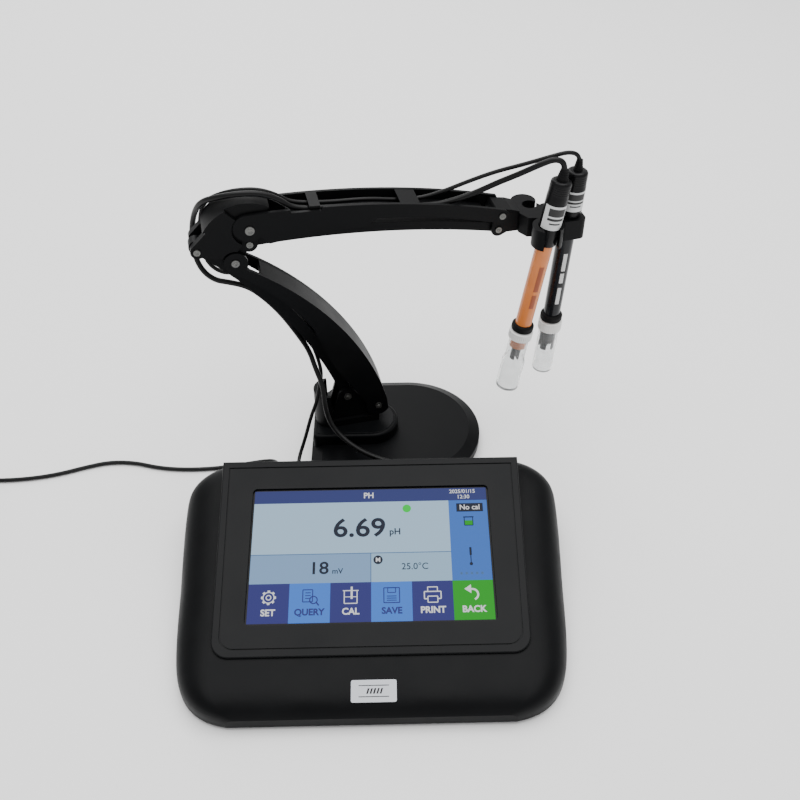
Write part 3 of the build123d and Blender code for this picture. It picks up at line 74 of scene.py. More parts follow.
def arm(s, t, z):
    """A point given along the arm, behind its near face and above the table, in millimetres."""
    return ARM_ORIGIN + MM * (s * ALONG + t * DEPTH) + Vector((0, 0, z * MM))


def row(x, y, z):
    """A point given to the right, to the back and up, in millimetres."""
    return Vector((x, y, z)) * MM


def centre(node):
    """Middle of a CAD node's box."""
    low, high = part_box(node)
    return (low + high) / 2


# ------------------------------------------------------------------- camera
CAMERA_AT = (15.3, -353.8, 502.7)
CAMERA_PITCH, CAMERA_YAW, CAMERA_ROLL = -42.0, -0.70, 0.59      # degrees from level, looking back
CAMERA_LENS, CAMERA_SENSOR = 40.5, 36.0


def make_camera():
    """The viewing angle of the main picture."""
    data = bpy.data.cameras.new("camera")
    data.sensor_width, data.lens = CAMERA_SENSOR, CAMERA_LENS
    camera = bpy.data.objects.new("camera", data)
    bpy.context.scene.collection.objects.link(camera)
    level = Matrix.Rotation(radians(90), 4, "X")
    pitch, yaw, roll = radians(CAMERA_PITCH), radians(CAMERA_YAW), radians(CAMERA_ROLL)
    turn = Matrix.Rotation(yaw, 4, "Z") @ Matrix.Rotation(pitch, 4, "X") @ Matrix.Rotation(roll, 4, "Y")
    camera.matrix_world = Matrix.Translation(row(*CAMERA_AT)) @ turn @ level
    data.clip_start, data.clip_end = 0.01, 30
    bpy.context.scene.camera = camera


make_camera()


# ---------------------------------------------------------------- materials
def new_material(name):
    """An empty material with its node tree and its main shader."""
    material = bpy.data.materials.new(name)
    material.use_nodes = True
    nodes, links = material.node_tree.nodes, material.node_tree.links
    return material, nodes, links, nodes["Principled BSDF"]


def object_noise(nodes, links, scale, detail=4.0, stretch=(1, 1, 1)):
    """Noise in the object's own coordinates, which are the frame's metres."""
    coordinates = nodes.new("ShaderNodeTexCoord")
    mapping = nodes.new("ShaderNodeMapping")
    mapping.inputs["Scale"].default_value = stretch
    noise = nodes.new("ShaderNodeTexNoise")
    noise.inputs["Scale"].default_value = scale
    noise.inputs["Detail"].default_value = detail
    links.new(coordinates.outputs["Object"], mapping.inputs["Vector"])
    links.new(mapping.outputs["Vector"], noise.inputs["Vector"])
    return noise


def ramp(nodes, links, source, low, high, start=0.35, end=0.65):
    """Colour ramp between two colours."""
    node = nodes.new("ShaderNodeValToRGB")
    node.color_ramp.elements[0].position, node.color_ramp.elements[0].color = start, (*low, 1)
    node.color_ramp.elements[1].position, node.color_ramp.elements[1].color = end, (*high, 1)
    links.new(source, node.inputs["Fac"])
    return node


def spread(nodes, links, source, low, high):
    """Spreads a noise between two values."""
    node = nodes.new("ShaderNodeMapRange")
    node.inputs["From Min"].default_value, node.inputs["From Max"].default_value = 0.3, 0.7
    node.inputs["To Min"].default_value, node.inputs["To Max"].default_value = low, high
    links.new(source, node.inputs["Value"])
    return node


def bump(nodes, links, source, shader, distance, strength=1.0):
    """Fine relief, its depth given in metres."""
    node = nodes.new("ShaderNodeBump")
    node.inputs["Distance"].default_value = distance
    node.inputs["Strength"].default_value = strength
    links.new(source, node.inputs["Height"])
    links.new(node.outputs["Normal"], shader.inputs["Normal"])


def moulded(name, colour, rough, grain=0.00004, grain_size=2600, specular=0.3, wear=0.35):
    """Moulded plastic: spark-eroded grain, slightly uneven colour and gloss."""
    material, nodes, links, shader = new_material(name)
    cloud = object_noise(nodes, links, 38, 5)
    fine = object_noise(nodes, links, grain_size, 2)
    pale = tuple(c * (1 + wear) for c in colour)
    tint = ramp(nodes, links, cloud.outputs["Fac"], colour, pale)
    links.new(tint.outputs["Color"], shader.inputs["Base Color"])
    gloss = spread(nodes, links, cloud.outputs["Fac"], rough - 0.05, rough + 0.06)
    links.new(gloss.outputs["Result"], shader.inputs["Roughness"])
    bump(nodes, links, fine.outputs["Fac"], shader, grain, 0.6)
    shader.inputs["Specular IOR Level"].default_value = specular
    return material


def metal(name, colour, rough, stretch=(1, 1, 12)):
    """Turned or rolled metal with fine drawn scratches."""
    material, nodes, links, shader = new_material(name)
    scratches = object_noise(nodes, links, 900, 6, stretch)
    tint = ramp(nodes, links, scratches.outputs["Fac"], tuple(c * 0.8 for c in colour), colour)
    links.new(tint.outputs["Color"], shader.inputs["Base Color"])
    gloss = spread(nodes, links, scratches.outputs["Fac"], rough - 0.08, rough + 0.1)
    links.new(gloss.outputs["Result"], shader.inputs["Roughness"])
    bump(nodes, links, scratches.outputs["Fac"], shader, 0.00002, 0.5)
    shader.inputs["Metallic"].default_value = 1.0
    return material


def clear(name, colour, rough, weight=0.85, ior=1.45, alpha=1.0):
    """Clear plastic or glass, a little uneven."""
    material, nodes, links, shader = new_material(name)
    flow = object_noise(nodes, links, 220, 3)
    tint = ramp(nodes, links, flow.outputs["Fac"], tuple(c * 0.94 for c in colour), colour)
    links.new(tint.outputs["Color"], shader.inputs["Base Color"])
    gloss = spread(nodes, links, flow.outputs["Fac"], rough, rough + 0.08)
    links.new(gloss.outputs["Result"], shader.inputs["Roughness"])
    bump(nodes, links, flow.outputs["Fac"], shader, 0.00006, 0.5)
    shader.inputs["Transmission Weight"].default_value = weight
    shader.inputs["IOR"].default_value = ior
    shader.inputs["Alpha"].default_value = alpha
    return material


def glowing(name, colour, strength=0.8):
    """A lit area of the display behind smooth glass, with the faint mesh of its pixels."""
    material, nodes, links, shader = new_material(name)
    pixels = nodes.new("ShaderNodeTexWave")
    pixels.wave_type, pixels.bands_direction = "BANDS", "X"
    pixels.inputs["Scale"].default_value = 900
    coordinates = nodes.new("ShaderNodeTexCoord")
    links.new(coordinates.outputs["Object"], pixels.inputs["Vector"])
    lit = ramp(nodes, links, pixels.outputs["Fac"], tuple(c * 0.94 for c in colour), colour, 0.2, 0.8)
    links.new(lit.outputs["Color"], shader.inputs["Emission Color"])
    shader.inputs["Emission Strength"].default_value = strength
    shader.inputs["Base Color"].default_value = (*[c * 0.12 for c in colour], 1)
    shader.inputs["Roughness"].default_value = 0.12
    shader.inputs["Specular IOR Level"].default_value = 0.06
    return material


def board(name):
    """Printed circuit board: solder mask over a pattern of tracks."""
    material, nodes, links, shader = new_material(name)
    tracks = nodes.new("ShaderNodeTexVoronoi")
    tracks.feature, tracks.distance = "DISTANCE_TO_EDGE", "MANHATTAN"
    tracks.inputs["Scale"].default_value = 160
    coordinates = nodes.new("ShaderNodeTexCoord")
    links.new(coordinates.outputs["Object"], tracks.inputs["Vector"])
    tint = ramp(nodes, links, tracks.outputs["Distance"], (0.05, 0.3, 0.12), (0.02, 0.13, 0.06), 0.02, 0.06)
    links.new(tint.outputs["Color"], shader.inputs["Base Color"])
    shader.inputs["Roughness"].default_value = 0.35
    bump(nodes, links, tracks.outputs["Distance"], shader, 0.00005, 0.4)
    return material


CASE = moulded("case_plastic", (0.0022, 0.0024, 0.0028), 0.44, specular=0.09)
BEZEL = moulded("bezel_plastic", (0.0034, 0.0037, 0.0042), 0.38, 0.00002, 3200, 0.11)
ARM = moulded("arm_plastic", (0.0026, 0.0027, 0.003), 0.46, specular=0.1)
GLOSS = moulded("black_plastic", (0.003, 0.003, 0.0034), 0.26, 0.00001, 1800, 0.16)
RUBBER = moulded("black_rubber", (0.004, 0.004, 0.0042), 0.6, 0.00005, 1900, 0.12)
FOOT = moulded("rubber", (0.02, 0.02, 0.02), 0.75, 0.00008, 1500, 0.3)
JACKET = moulded("lead_jacket", (0.003, 0.003, 0.0032), 0.38, 0.00002, 2400, 0.2)
CORD = moulded("cord_jacket", (0.003, 0.003, 0.0032), 0.4, 0.00002, 2400, 0.2)
PH_BODY = moulded("ph_body", (0.004, 0.0045, 0.006), 0.22, 0.00001, 1500, 0.28)
WHITE = moulded("white_plastic", (0.8, 0.8, 0.78), 0.4, 0.00003, 1600, 0.5, 0.04)
LABEL = moulded("label_paper", (0.62, 0.63, 0.63), 0.45, 0.00001, 1400, 0.4, 0.05)
INK = moulded("label_ink", (0.02, 0.02, 0.02), 0.5, 0.00001, 1400, 0.3)
ORANGE = moulded("orange_tube", (0.56, 0.16, 0.03), 0.22, 0.00002, 900, 0.5, 0.25)
ORANGE_LIGHT = moulded("orange_print", (0.24, 0.05, 0.01), 0.3, 0.00002, 900, 0.4)
STEEL = metal("pin_steel", (0.5, 0.5, 0.49), 0.35)
PIN = metal("dull_pin", (0.2, 0.2, 0.19), 0.45)
NICKEL = metal("connector_metal", (0.62, 0.61, 0.58), 0.28)
IRON = moulded("weight_iron", (0.09, 0.09, 0.09), 0.6, 0.0001, 700, 0.4)
PLATE = moulded("plate_steel", (0.03, 0.03, 0.032), 0.5, 0.00002, 900, 0.4)
BADGE = metal("badge", (0.3, 0.31, 0.33), 0.35, (12, 1, 1))
BOTTLE = clear("clear_bottle", (0.97, 0.98, 0.98), 0.06, 0.9, 1.2)
BULB = clear("bulb_glass", (0.95, 0.97, 0.98), 0.02, 0.95)
BOARD = board("circuit_board")
BLACK_GLASS = moulded("screen_glass", (0.003, 0.003, 0.0035), 0.12, 0.000002, 500, 0.12)

SLOT_MATERIALS = {
    "case_plastic": CASE, "bezel_plastic": BEZEL, "arm_plastic": ARM, "black_plastic": GLOSS,
    "black_rubber": RUBBER, "rubber": FOOT, "screen_glass": BLACK_GLASS, "display": BLACK_GLASS,
    "circuit_board": BOARD, "connector_metal": NICKEL, "badge": BADGE, "screw_steel": STEEL,
    "weight_iron": IRON, "plate_steel": PLATE, "pin_steel": PIN, "ph_body": PH_BODY,
    "bulb_glass": BULB, "white_plastic": WHITE, "clear_bottle": BOTTLE, "orange_tube": ORANGE,
    "lead_jacket": JACKET, "cord_jacket": CORD,
}
for part in frame["record"]["subparts"]:
    node = frame["nodes"][part["node"]]
    for place in node.material_slots:
        place.material = SLOT_MATERIALS[part["material_slot"]]


# ------------------------------------------------------------ mesh building
def make_piece(name, mesh, body, material, smooth=True):
    """Puts a mesh into the scene as a piece that rides on a body."""
    piece = bpy.data.objects.new(name, mesh)
    bpy.context.scene.collection.objects.link(piece)
    mesh.materials.append(material)
    for face in mesh.polygons:
        face.use_smooth = smooth
    if body:
        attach(piece, body)
    return piece


def mesh_of(name, vertices, faces):
    """A mesh from lists of places and faces."""
    mesh = bpy.data.meshes.new(name)
    mesh.from_pydata([tuple(v) for v in vertices], [], faces)
    mesh.update()
    return mesh


def sharp_edges(mesh, angle=35):
    """Keeps edges over the angle sharp on a smooth mesh."""
    work = bmesh.new()
    work.from_mesh(mesh)
    for edge in work.edges:
        if len(edge.link_faces) == 2 and edge.calc_face_angle(0) > radians(angle):
            edge.smooth = False
    work.to_mesh(mesh)
    work.free()


def axis_frame(origin, axis):
    """Matrix whose Z is axis and whose origin is origin."""
    z = Vector(axis).normalized()
    x = Vector((0, 1, 0)).cross(z)
    if x.length < 0.1:
        x = Vector((1, 0, 0)).cross(z)
    x.normalize()
    turn = Matrix((x, z.cross(x), z)).transposed().to_4x4()
    return Matrix.Translation(origin) @ turn


def lathe(name, place, profile, body, material, sides=64, ribs=0, rib_depth=0.0, ribbed=()):
    """Turned shape. profile is (radius, height) in millimetres; rows named in ribbed get vertical ribs."""
    vertices, faces = [], []
    count = len(profile)
    for i in range(sides):
        angle = 2 * pi * i / sides
        for j, (radius, height) in enumerate(profile):
            r = radius
            if ribs and j in ribbed:
                r -= rib_depth * (0.5 - 0.5 * cos(angle * ribs))
            vertices.append(place @ (MM * Vector((r * cos(angle), r * sin(angle), height))))
    for i in range(sides):
        k = (i + 1) % sides
        for j in range(count - 1):
            faces.append((i * count + j, k * count + j, k * count + j + 1, i * count + j + 1))
    mesh = mesh_of(name, vertices, faces)
    work = bmesh.new()
    work.from_mesh(mesh)
    bmesh.ops.remove_doubles(work, verts=work.verts, dist=1e-7)
    bmesh.ops.recalc_face_normals(work, faces=work.faces)
    work.to_mesh(mesh)
    work.free()
    sharp_edges(mesh)
    return make_piece(name, mesh, body, material)


def nurbs(name, points):
    """One open NURBS spline with the points as its control points."""
    curve = bpy.data.curves.new(name, "CURVE")
    curve.dimensions = "3D"
    spline = curve.splines.new("NURBS")
    spline.points.add(len(points) - 1)
    for place, point in zip(spline.points, points):
        place.co = (*point, 1)
    spline.order_u = 3
    spline.use_endpoint_u = True
    spline.resolution_u = 8
    return curve


def line_points(curve):
    """The points that a curve with no bevel runs through."""
    holder = bpy.data.objects.new("line", curve)
    bpy.context.scene.collection.objects.link(holder)
    bpy.context.view_layer.update()
    mesh = bpy.data.meshes.new_from_object(holder)
    points = [v.co.copy() for v in mesh.vertices]
    bpy.data.objects.remove(holder)
    bpy.data.meshes.remove(mesh)
    return points


def tube_rings(points, radius, sides=20):
    """Rings of vertices round a line, with no twist between them."""
    rings, side = [], None
    for i, point in enumerate(points):
        before, after = points[max(i - 1, 0)], points[min(i + 1, len(points) - 1)]
        ahead = (after - before).normalized()
        if side is None:
            side = ahead.orthogonal().normalized()
        side = (side - ahead * side.dot(ahead)).normalized()
        across = ahead.cross(side)
        rings.append([point + radius * (cos(2 * pi * k / sides) * side + sin(2 * pi * k / sides) * across)
                      for k in range(sides)])
    return rings


def tube_mesh(name, rings):
    """Closed tube through rings of vertices."""
    sides = len(rings[0])
    vertices = [v for ring in rings for v in ring]
    faces = []
    for i in range(len(rings) - 1):
        low, high = i * sides, (i + 1) * sides
        faces += [(low + k, low + (k + 1) % sides, high + (k + 1) % sides, high + k) for k in range(sides)]
    faces.append(tuple(reversed(range(sides))))
    faces.append(tuple((len(rings) - 1) * sides + k for k in range(sides)))
    return mesh_of(name, vertices, faces)


# --------------------------------------------------------------- power cord
CORD_R = 1.6
CORD_Z = CORD_R + 0.1
COIL_CENTRE, COIL_MEAN = (-313.0, 100.0), 18.0
CORD_ROUTE = [
    (-72.0, 118.9, 12.4), (-72.8, 126.6, 8.6), (-79.0, 132.6, 4.4), (-90.5, 133.2, 2.2),
    (-105.0, 130.4, CORD_Z), (-124.0, 127.6, CORD_Z), (-146.0, 127.2, CORD_Z),
    (-166.0, 129.8, CORD_Z), (-184.0, 135.6, CORD_Z), (-204.0, 136.8, CORD_Z),
    (-222.0, 131.6, CORD_Z), (-240.0, 125.0, CORD_Z), (-260.0, 120.9, CORD_Z),
    (-282.0, 119.4, CORD_Z), (-304.0, 120.6, CORD_Z),
]
TAIL_ROUTE = [(-333.4, 92.0, 11.2), (-332.8, 83.5, 11.0), (-331.0, 75.0, 11.0), (-330.0, 67.3, 11.0)]


def coil_turns():
    """Turns side by side in three columns and four layers, wound counter-clockwise from above."""
    radii = (COIL_MEAN + 2 * CORD_R, COIL_MEAN, COIL_MEAN - 2 * CORD_R)
    pitch, per_turn, turns = 2 * CORD_R + 0.05, 14, 11
    start = radians(105)
    points = []
    for k in range(turns * per_turn + 4):
        turn = k / per_turn
        layer, column = divmod(int(turn), 3)
        order = radii if layer % 2 == 0 else radii[::-1]
        after_layer, after_column = divmod(int(turn) + 1, 3)
        after = (radii if after_layer % 2 == 0 else radii[::-1])[after_column]
        late = max(0.0, (turn % 1.0) - 0.45) / 0.55
        step = late * late * (3 - 2 * late)
        radius = order[column] + (after - order[column]) * step
        height = CORD_Z + pitch * (layer + (after_layer - layer) * step)
        angle = start + 2 * pi * turn
        points.append((COIL_CENTRE[0] + radius * cos(angle), COIL_CENTRE[1] + radius * sin(angle), height))
    return points


cord_points = [row(*p) for p in CORD_ROUTE + coil_turns() + TAIL_ROUTE]
cord_curve = nurbs("power_cord_line", cord_points)
cord_curve.bevel_depth = CORD_R * MM
cord_curve.bevel_resolution = 4
cord_curve.resolution_u = 4
cord_curve.use_fill_caps = True
cord_curve.materials.append(CORD)
cord_piece = bpy.data.objects.new("power_cord_whole", cord_curve)
bpy.context.scene.collection.objects.link(cord_piece)
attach(cord_piece, "root")
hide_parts("power_cord", "power_cord_coil")


# -------------------------------------------------------------------- leads
# control points of both leads: arm points from the electrodes to the stand, then row points to the plugs
PH_ARC = [(153.0, -9, 226.6), (152.8, -9, 232.6), (146.0, -8, 236.0), (134.4, -6, 233.2),
          (118.8, -1.6, 227.6), (101.2, 4, 221.8), (84, 8.2, 214.8), (68, 11.8, 207.6), (54, 13.8, 203.6)]
COND_ARC = [(138.8, -18, 226.1), (139.4, -18, 233.2), (133.2, -16.6, 237.0), (124, -14, 232.8),
            (112.5, -8.4, 224.8), (100.8, -0.8, 216.2), (88.5, 4.2, 208.2), (75, 6.2, 203.4),
            (61, 6.4, 201.6)]
PH_CHANNEL = [(37, 14.6, 204.2), (17, 13.6, 208.4), (-8, 13.0, 209.6)]
COND_CHANNEL = [(42, 6.8, 203.2), (20, 7.6, 206.6), (-4, 7.6, 208.4)]
PH_ELBOW = [(-32.4, 13.8, 212.1), (-41, 13.6, 219.4), (-52, 13.4, 224.6), (-64, 14.0, 225.6),
            (-75.5, 17.5, 222.6), (-85.8, 23.5, 215.6), (-90.5, 28.2, 202.5), (-92.0, 28.6, 188.0),
            (-92.6, 27.4, 175.6), (-89.0, 24.6, 166.4), (-82.0, 21.4, 162.0), (-74.6, 19.2, 162.2)]
COND_ELBOW = [(-31.5, 7.4, 210.9), (-40.5, 7.2, 219.6), (-51.5, 6.8, 225.2), (-64, 7.0, 226.6),
              (-76.5, 11.0, 223.9), (-88.3, 19.6, 217.6), (-93.8, 29.6, 204.6), (-97.2, 32.8, 190.5),
              (-98.6, 31.4, 176.0), (-96.0, 27.6, 163.4), (-88.4, 22.6, 156.2), (-77.6, 18.2, 155.4)]
PH_LOWER = [(-66.4, 18.1, 159.9), (-56, 18.6, 148.6), (-44.6, 18.8, 132.2), (-34.2, 18.9, 113.4),
            (-26.6, 19.0, 93.0), (-23.0, 18.6, 77.0), (-21.8, 14.4, 66.0), (-25.6, 6.2, 60.2)]
COND_LOWER = [(-66.5, 15.9, 151.8), (-57, 15.6, 141.6), (-46.6, 15.5, 126.4), (-37.4, 15.6, 107.6),
              (-29.4, 15.5, 89.5), (-26.6, 11.6, 75.0)]
PH_BASE = [(-40.8, 146.8, 52.0), (-45.6, 141.6, 41.6), (-49.0, 136.0, 31.4), (-52.4, 130.4, 22.6),
           (-55.4, 124.2, 16.4), (-56.0, 117.6, 14.2)]
COND_BASE = [(-35.4, 149.4, 65.0), (-34.6, 141.6, 52.6), (-31.4, 136.4, 39.6), (-22.4, 129.6, 30.6),
             (-10.2, 120.6, 26.6), (4.0, 112.8, 24.6), (22.0, 109.0, 21.6), (43.0, 108.2, 19.0),
             (61.0, 108.8, 16.6), (76.0, 109.5, 14.6), (88.4, 109.5, 14.0)]
PH_LEAD_R, COND_LEAD_R = 1.4, 1.9


def cut_line(points, cuts):
    """Splits a line into stretches at the points nearest to the cuts."""
    places = [0]
    for cut in cuts:
        places.append(min(range(places[-1] + 1, len(points) - 1), key=lambda i: (points[i] - cut).length))
    places.append(len(points) - 1)
    return list(zip(places, places[1:]))


def make_lead(name, points, radius, tip_body, nodes):
    """One lead from its electrode to its plug, in stretches cut at the joints; those that reach over a joint ride
    on no body.
    """
    curve = nurbs(name + "_line", points)
    line = line_points(curve)
    rings = tube_rings(line, radius * MM)
    # where each stretch ends, and the two bodies and the span that it bends over
    stretches = [
        ("tip", tip_body, "holder", arm(151, -10, 230), arm(130, -10, 230), arm(124, -8, 231)),
        ("arc", "holder", "upper_arm", arm(118, 0, 220), arm(74, 0, 220), arm(60, 10, 203)),
        ("channel", "upper_arm", None, None, None, arm(-20, 10, 209)),
        ("over_elbow", "upper_arm", "elbow", arm(-24, 0, 215), arm(-54, 0, 215), arm(-74, 26, 222)),
        ("behind_elbow", "elbow", "lower_arm", arm(-80, 20, 206), arm(-80, 20, 166), arm(-72, 18, 158)),
        ("down_arm", "lower_arm", None, None, None, arm(-30, 17, 100)),
        ("past_pivot", "lower_arm", "swivel", arm(-28, 17, 96), arm(-24, 17, 66), arm(-24, 12, 64)),
        ("to_plug", "swivel", "root", arm(-25, 4, 60), arm(-37, -20, 34), None),
    ]
    cuts = [s[5] for s in stretches if s[5]]
    for (part, body, other, start, end, _), (first, last) in zip(stretches, cut_line(line, cuts)):
        mesh = tube_mesh(f"{name}_{part}", rings[first:last + 1])
        piece = make_piece(f"{name}_{part}", mesh, None if other else body, JACKET)
        sharp_edges(mesh)
        if other:
            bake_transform(piece)
        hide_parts(*nodes)


ph_line = [arm(*p) for p in PH_ARC + PH_CHANNEL + PH_ELBOW + PH_LOWER]
ph_line += [row(*p) for p in PH_BASE]
cond_line = [arm(*p) for p in COND_ARC + COND_CHANNEL + COND_ELBOW + COND_LOWER]
cond_line += [row(*p) for p in COND_BASE]
LEAD_NODES = ("lead_arcs", "channel_leads", "elbow_leads", "lower_leads", "base_leads")
make_lead("ph_lead", ph_line, PH_LEAD_R, "ph_electrode", LEAD_NODES)
make_lead("cond_lead", cond_line, COND_LEAD_R, "cond_electrode", LEAD_NODES)


# --------------------------------------------------------------- electrodes
PH_AXIS = Vector(joints["ph_electrode_lift"]["axis"]).normalized()
COND_AXIS = Vector(joints["cond_electrode_slide"]["axis"]).normalized()
PH_CAP_LENGTH, COND_CAP_LENGTH, CAP_R = 31.8, 46.5, 7.3
PH_TUBE_END, COND_TUBE_END = 144.0, 132.0
# each tube's box is centred on its axis at this distance below the cap's top
PH_DROP = (PH_CAP_LENGTH + PH_TUBE_END) / 2
COND_DROP = (COND_CAP_LENGTH + COND_TUBE_END) / 2
PH_TOP = axis_frame(centre("ph_tube") + PH_DROP * MM * PH_AXIS, PH_AXIS)
COND_TOP = axis_frame(centre("cond_tube") + COND_DROP * MM * COND_AXIS, COND_AXIS)


BOOT_HEIGHT = 7.5


def boot(name, place, base_radius, lead_radius, height, body, node):
    """Ridged rubber sleeve where a lead leaves its electrode."""
    rows = 5
    profile = [(0, -0.2), (base_radius, -0.2)]
    for k in range(rows):
        z0, z1 = height * k / rows, height * (k + 1) / rows
        r0 = base_radius + (lead_radius + 0.5 - base_radius) * k / rows
        profile += [(r0, z0 + 0.1), (r0, z1 - 0.35), (r0 - 0.45, z1 - 0.2), (r0 - 0.45, z1)]
    profile += [(lead_radius + 0.02, height + 0.1), (0, height + 0.1)]
    piece = lathe(name, place, profile, body, RUBBER, 40)
    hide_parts(node)


boot("ph_boot", PH_TOP, 3.1, PH_LEAD_R, BOOT_HEIGHT, "ph_electrode", "ph_strain_relief")
boot("cond_boot", COND_TOP, 3.8, COND_LEAD_R, BOOT_HEIGHT, "cond_electrode", "cond_strain_relief")


def electrode_cap(name, place, length, radius, body, node):
    """Cap of an electrode: domed top, grip rings at the top and a plain straight part below them for the label."""
    r = radius
    profile = [(0, 0), (r - 2.6, 0), (r - 1.4, -0.25), (r - 0.6, -0.9), (r - 0.25, -2.0)]
    for k in range(4):
        z = -3.2 - 1.5 * k
        profile += [(r - 0.2, z), (r - 0.45, z - 0.15), (r - 0.45, z - 0.45), (r - 0.2, z - 0.6)]
    profile += [(r - 0.2, -10), (r - 0.02, -10.6), (r - 0.02, -length + 1.2), (r - 0.4, -length + 0.3),
                (r - 1.0, -length), (0, -length)]
    piece = lathe(name, place, profile, body, GLOSS, 72)
    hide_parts(node)


electrode_cap("ph_cap_body", PH_TOP, PH_CAP_LENGTH, CAP_R, "ph_electrode", "ph_cap")
electrode_cap("cond_cap_body", COND_TOP, COND_CAP_LENGTH, CAP_R, "cond_electrode", "cond_cap")


def arc_band(name, place, radius, top, bottom, middle, half, body, material):
    """Thin curved sheet on a round body, from top to bottom and half an angle each way about middle."""
    steps = 20
    vertices = []
    for i in range(steps + 1):
        angle = middle - half + 2 * half * i / steps
        for r in (radius, radius + 0.12):
            for z in (top, bottom):
                vertices.append(place @ (MM * Vector((r * cos(angle), r * sin(angle), z))))
    faces = []
    for i in range(steps):
        a, b = 4 * i, 4 * i + 4
        faces += [(a + 2, b + 2, b + 3, a + 3), (a, a + 1, b + 1, b), (a, b, b + 2, a + 2),
                  (a + 1, a + 3, b + 3, b + 1)]
    faces += [(0, 2, 3, 1), (4 * steps, 4 * steps + 1, 4 * steps + 3, 4 * steps + 2)]
    mesh = mesh_of(name, vertices, faces)
    work = bmesh.new()
    work.from_mesh(mesh)
    bmesh.ops.recalc_face_normals(work, faces=work.faces)
    work.to_mesh(mesh)
    work.free()
    sharp_edges(mesh)
    return make_piece(name, mesh, body, material)


def facing_angle(place):
    """Angle about an electrode's axis that faces the front of the meter."""
    local = place.to_3x3().inverted() @ Vector((0.15, -1, 0))
    return atan2(local.y, local.x)


def electrode_label(name, place, radius, top, bottom, body):
    """Plain white label with a block of plain bars in place of any print."""
    front = facing_angle(place)
    arc_band(name, place, radius, top, bottom, front, radians(75), body, LABEL)
    height = top - bottom
    for k, (high, low, half) in enumerate(((0.10, 0.42, 46), (0.50, 0.60, 46), (0.70, 0.76, 30))):
        arc_band(f"{name}_bar_{k}", place, radius + 0.1, top - high * height, top - low * height, front,
                 radians(half), body, INK)


LABEL_R = CAP_R - 0.05
electrode_label("cond_label", COND_TOP, LABEL_R, -16, -33, "cond_electrode")
electrode_label("ph_label", PH_TOP, LABEL_R, -13, -27, "ph_electrode")
# plain patches along the tubes in place of their print
for k, (top, bottom) in enumerate(((-60, -74), (-76, -84), (-88, -102))):
    arc_band(f"ph_print_{k}", PH_TOP, 5.98, top, bottom, facing_angle(PH_TOP), radians(13),
             "ph_electrode", LABEL)
for k, (top, bottom) in enumerate(((-62, -82), (-85, -96))):
    arc_band(f"cond_print_{k}", COND_TOP, 5.88, top, bottom, facing_angle(COND_TOP), radians(16),
             "cond_electrode", ORANGE_LIGHT)


def bottle_cap(name, place, top, bottom, radius, bore, body, node):
    """Screw cap with vertical grip ribs and a rolled top edge."""
    profile = [(bore, bottom), (bore, top), (radius - 1.2, top), (radius - 0.5, top - 0.3),
               (radius, top - 0.9), (radius, top - 1.4), (radius, bottom + 0.6), (radius - 0.3, bottom),
               (bore, bottom)]
    piece = lathe(name, place, profile, body, WHITE, 144, ribs=36, rib_depth=0.5,
                  ribbed=(5, 6))
    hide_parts(node)


bottle_cap("ph_screw_cap", PH_TOP, -118.8, -127.0, 8.6, 6.3, "ph_storage_bottle", "ph_bottle_cap")
bottle_cap("cond_screw_cap", COND_TOP, -117.8, -124.5, 8.6, 6.2, "cond_storage_bottle", "cond_bottle_cap")


# -------------------------------------------------------------------- pins
EAR_NEAR = 2.8                  # how far behind the arm's near face the inner plates stand
PIN_FACE = -1.0                 # outer end of the heads of the pins through the cheeks
PIN_RISE = 0.4                  # how far a turned centre stands out of its head


def pin_head(name, pivot, depth, radius, body):
    """Turned centre of a pin's head on the near side of the arm, with a recess in its middle."""
    place = axis_frame(arm(pivot[0], depth, pivot[1]), -DEPTH)
    profile = [(0, 0.35 * PIN_RISE), (0.42 * radius, 0.35 * PIN_RISE), (0.46 * radius, 0.95 * PIN_RISE),
               (0.75 * radius, 0.92 * PIN_RISE), (0.93 * radius, 0.6 * PIN_RISE), (radius, 0.2 * PIN_RISE),
               (radius, -0.3)]
    lathe(name, place, profile, body, PIN, 40)


pin_head("upper_pin_head", (-61.1, 204.0), PIN_FACE, 2.1, "elbow")
pin_head("elbow_pin_head", (-72.9, 181.4), PIN_FACE, 1.3, "elbow")
pin_head("tie_pin_head", (-95.7, 193.1), PIN_FACE, 1.0, "elbow")
pin_head("bracket_pin_head", (17.8, 38.4), PIN_FACE, 1.3, "swivel")
pin_head("bracket_tie_pin_head", (-5.0, 50.1), PIN_FACE + EAR_NEAR, 1.3, "swivel")
pin_head("holder_pin_head", (106.5, 190.3), PIN_FACE, 1.1, "holder")
pin_head("holder_tie_pin_head", (105.4, 178.5), PIN_FACE + EAR_NEAR, 1.1, "holder")
pin_head("knuckle_pin_head", (-62.2, 192.2), PIN_FACE + EAR_NEAR, 1.3, "elbow")

# ------------------------------------------------------------------- screen
DISPLAY_W, DISPLAY_H = 153.6, 90.0
ASPECT = DISPLAY_W / DISPLAY_H
STEP = 0.025                    # height of one lit layer over the next
UI = {name: glowing("ui_" + name, colour) for name, colour in {
    "indigo": (0.042, 0.054, 0.205), "sky": (0.45, 0.65, 0.84), "steel": (0.26, 0.43, 0.68),
    "mist": (0.38, 0.58, 0.77), "blue": (0.062, 0.19, 0.64), "azure": (0.07, 0.24, 0.83),
    "navy": (0.042, 0.045, 0.22), "green": (0.017, 0.40, 0.022), "lime": (0.0, 0.75, 0.06),
    "white": (0.9, 0.92, 0.95), "ink": (0.02, 0.025, 0.045), "slate": (0.10, 0.20, 0.40),
}.items()}
ui_shapes = {name: [] for name in UI}


def screen_point(u, v, layer):
    """A point on the display: u from the left and v from the top as shares of its size."""
    across, up = (u - 0.5) * DISPLAY_W, (0.5 - v) * DISPLAY_H
    return GLASS_CENTRE + MM * (across * SCREEN_X + up * SCREEN_Y + (0.04 + layer * STEP) * SCREEN_UP)


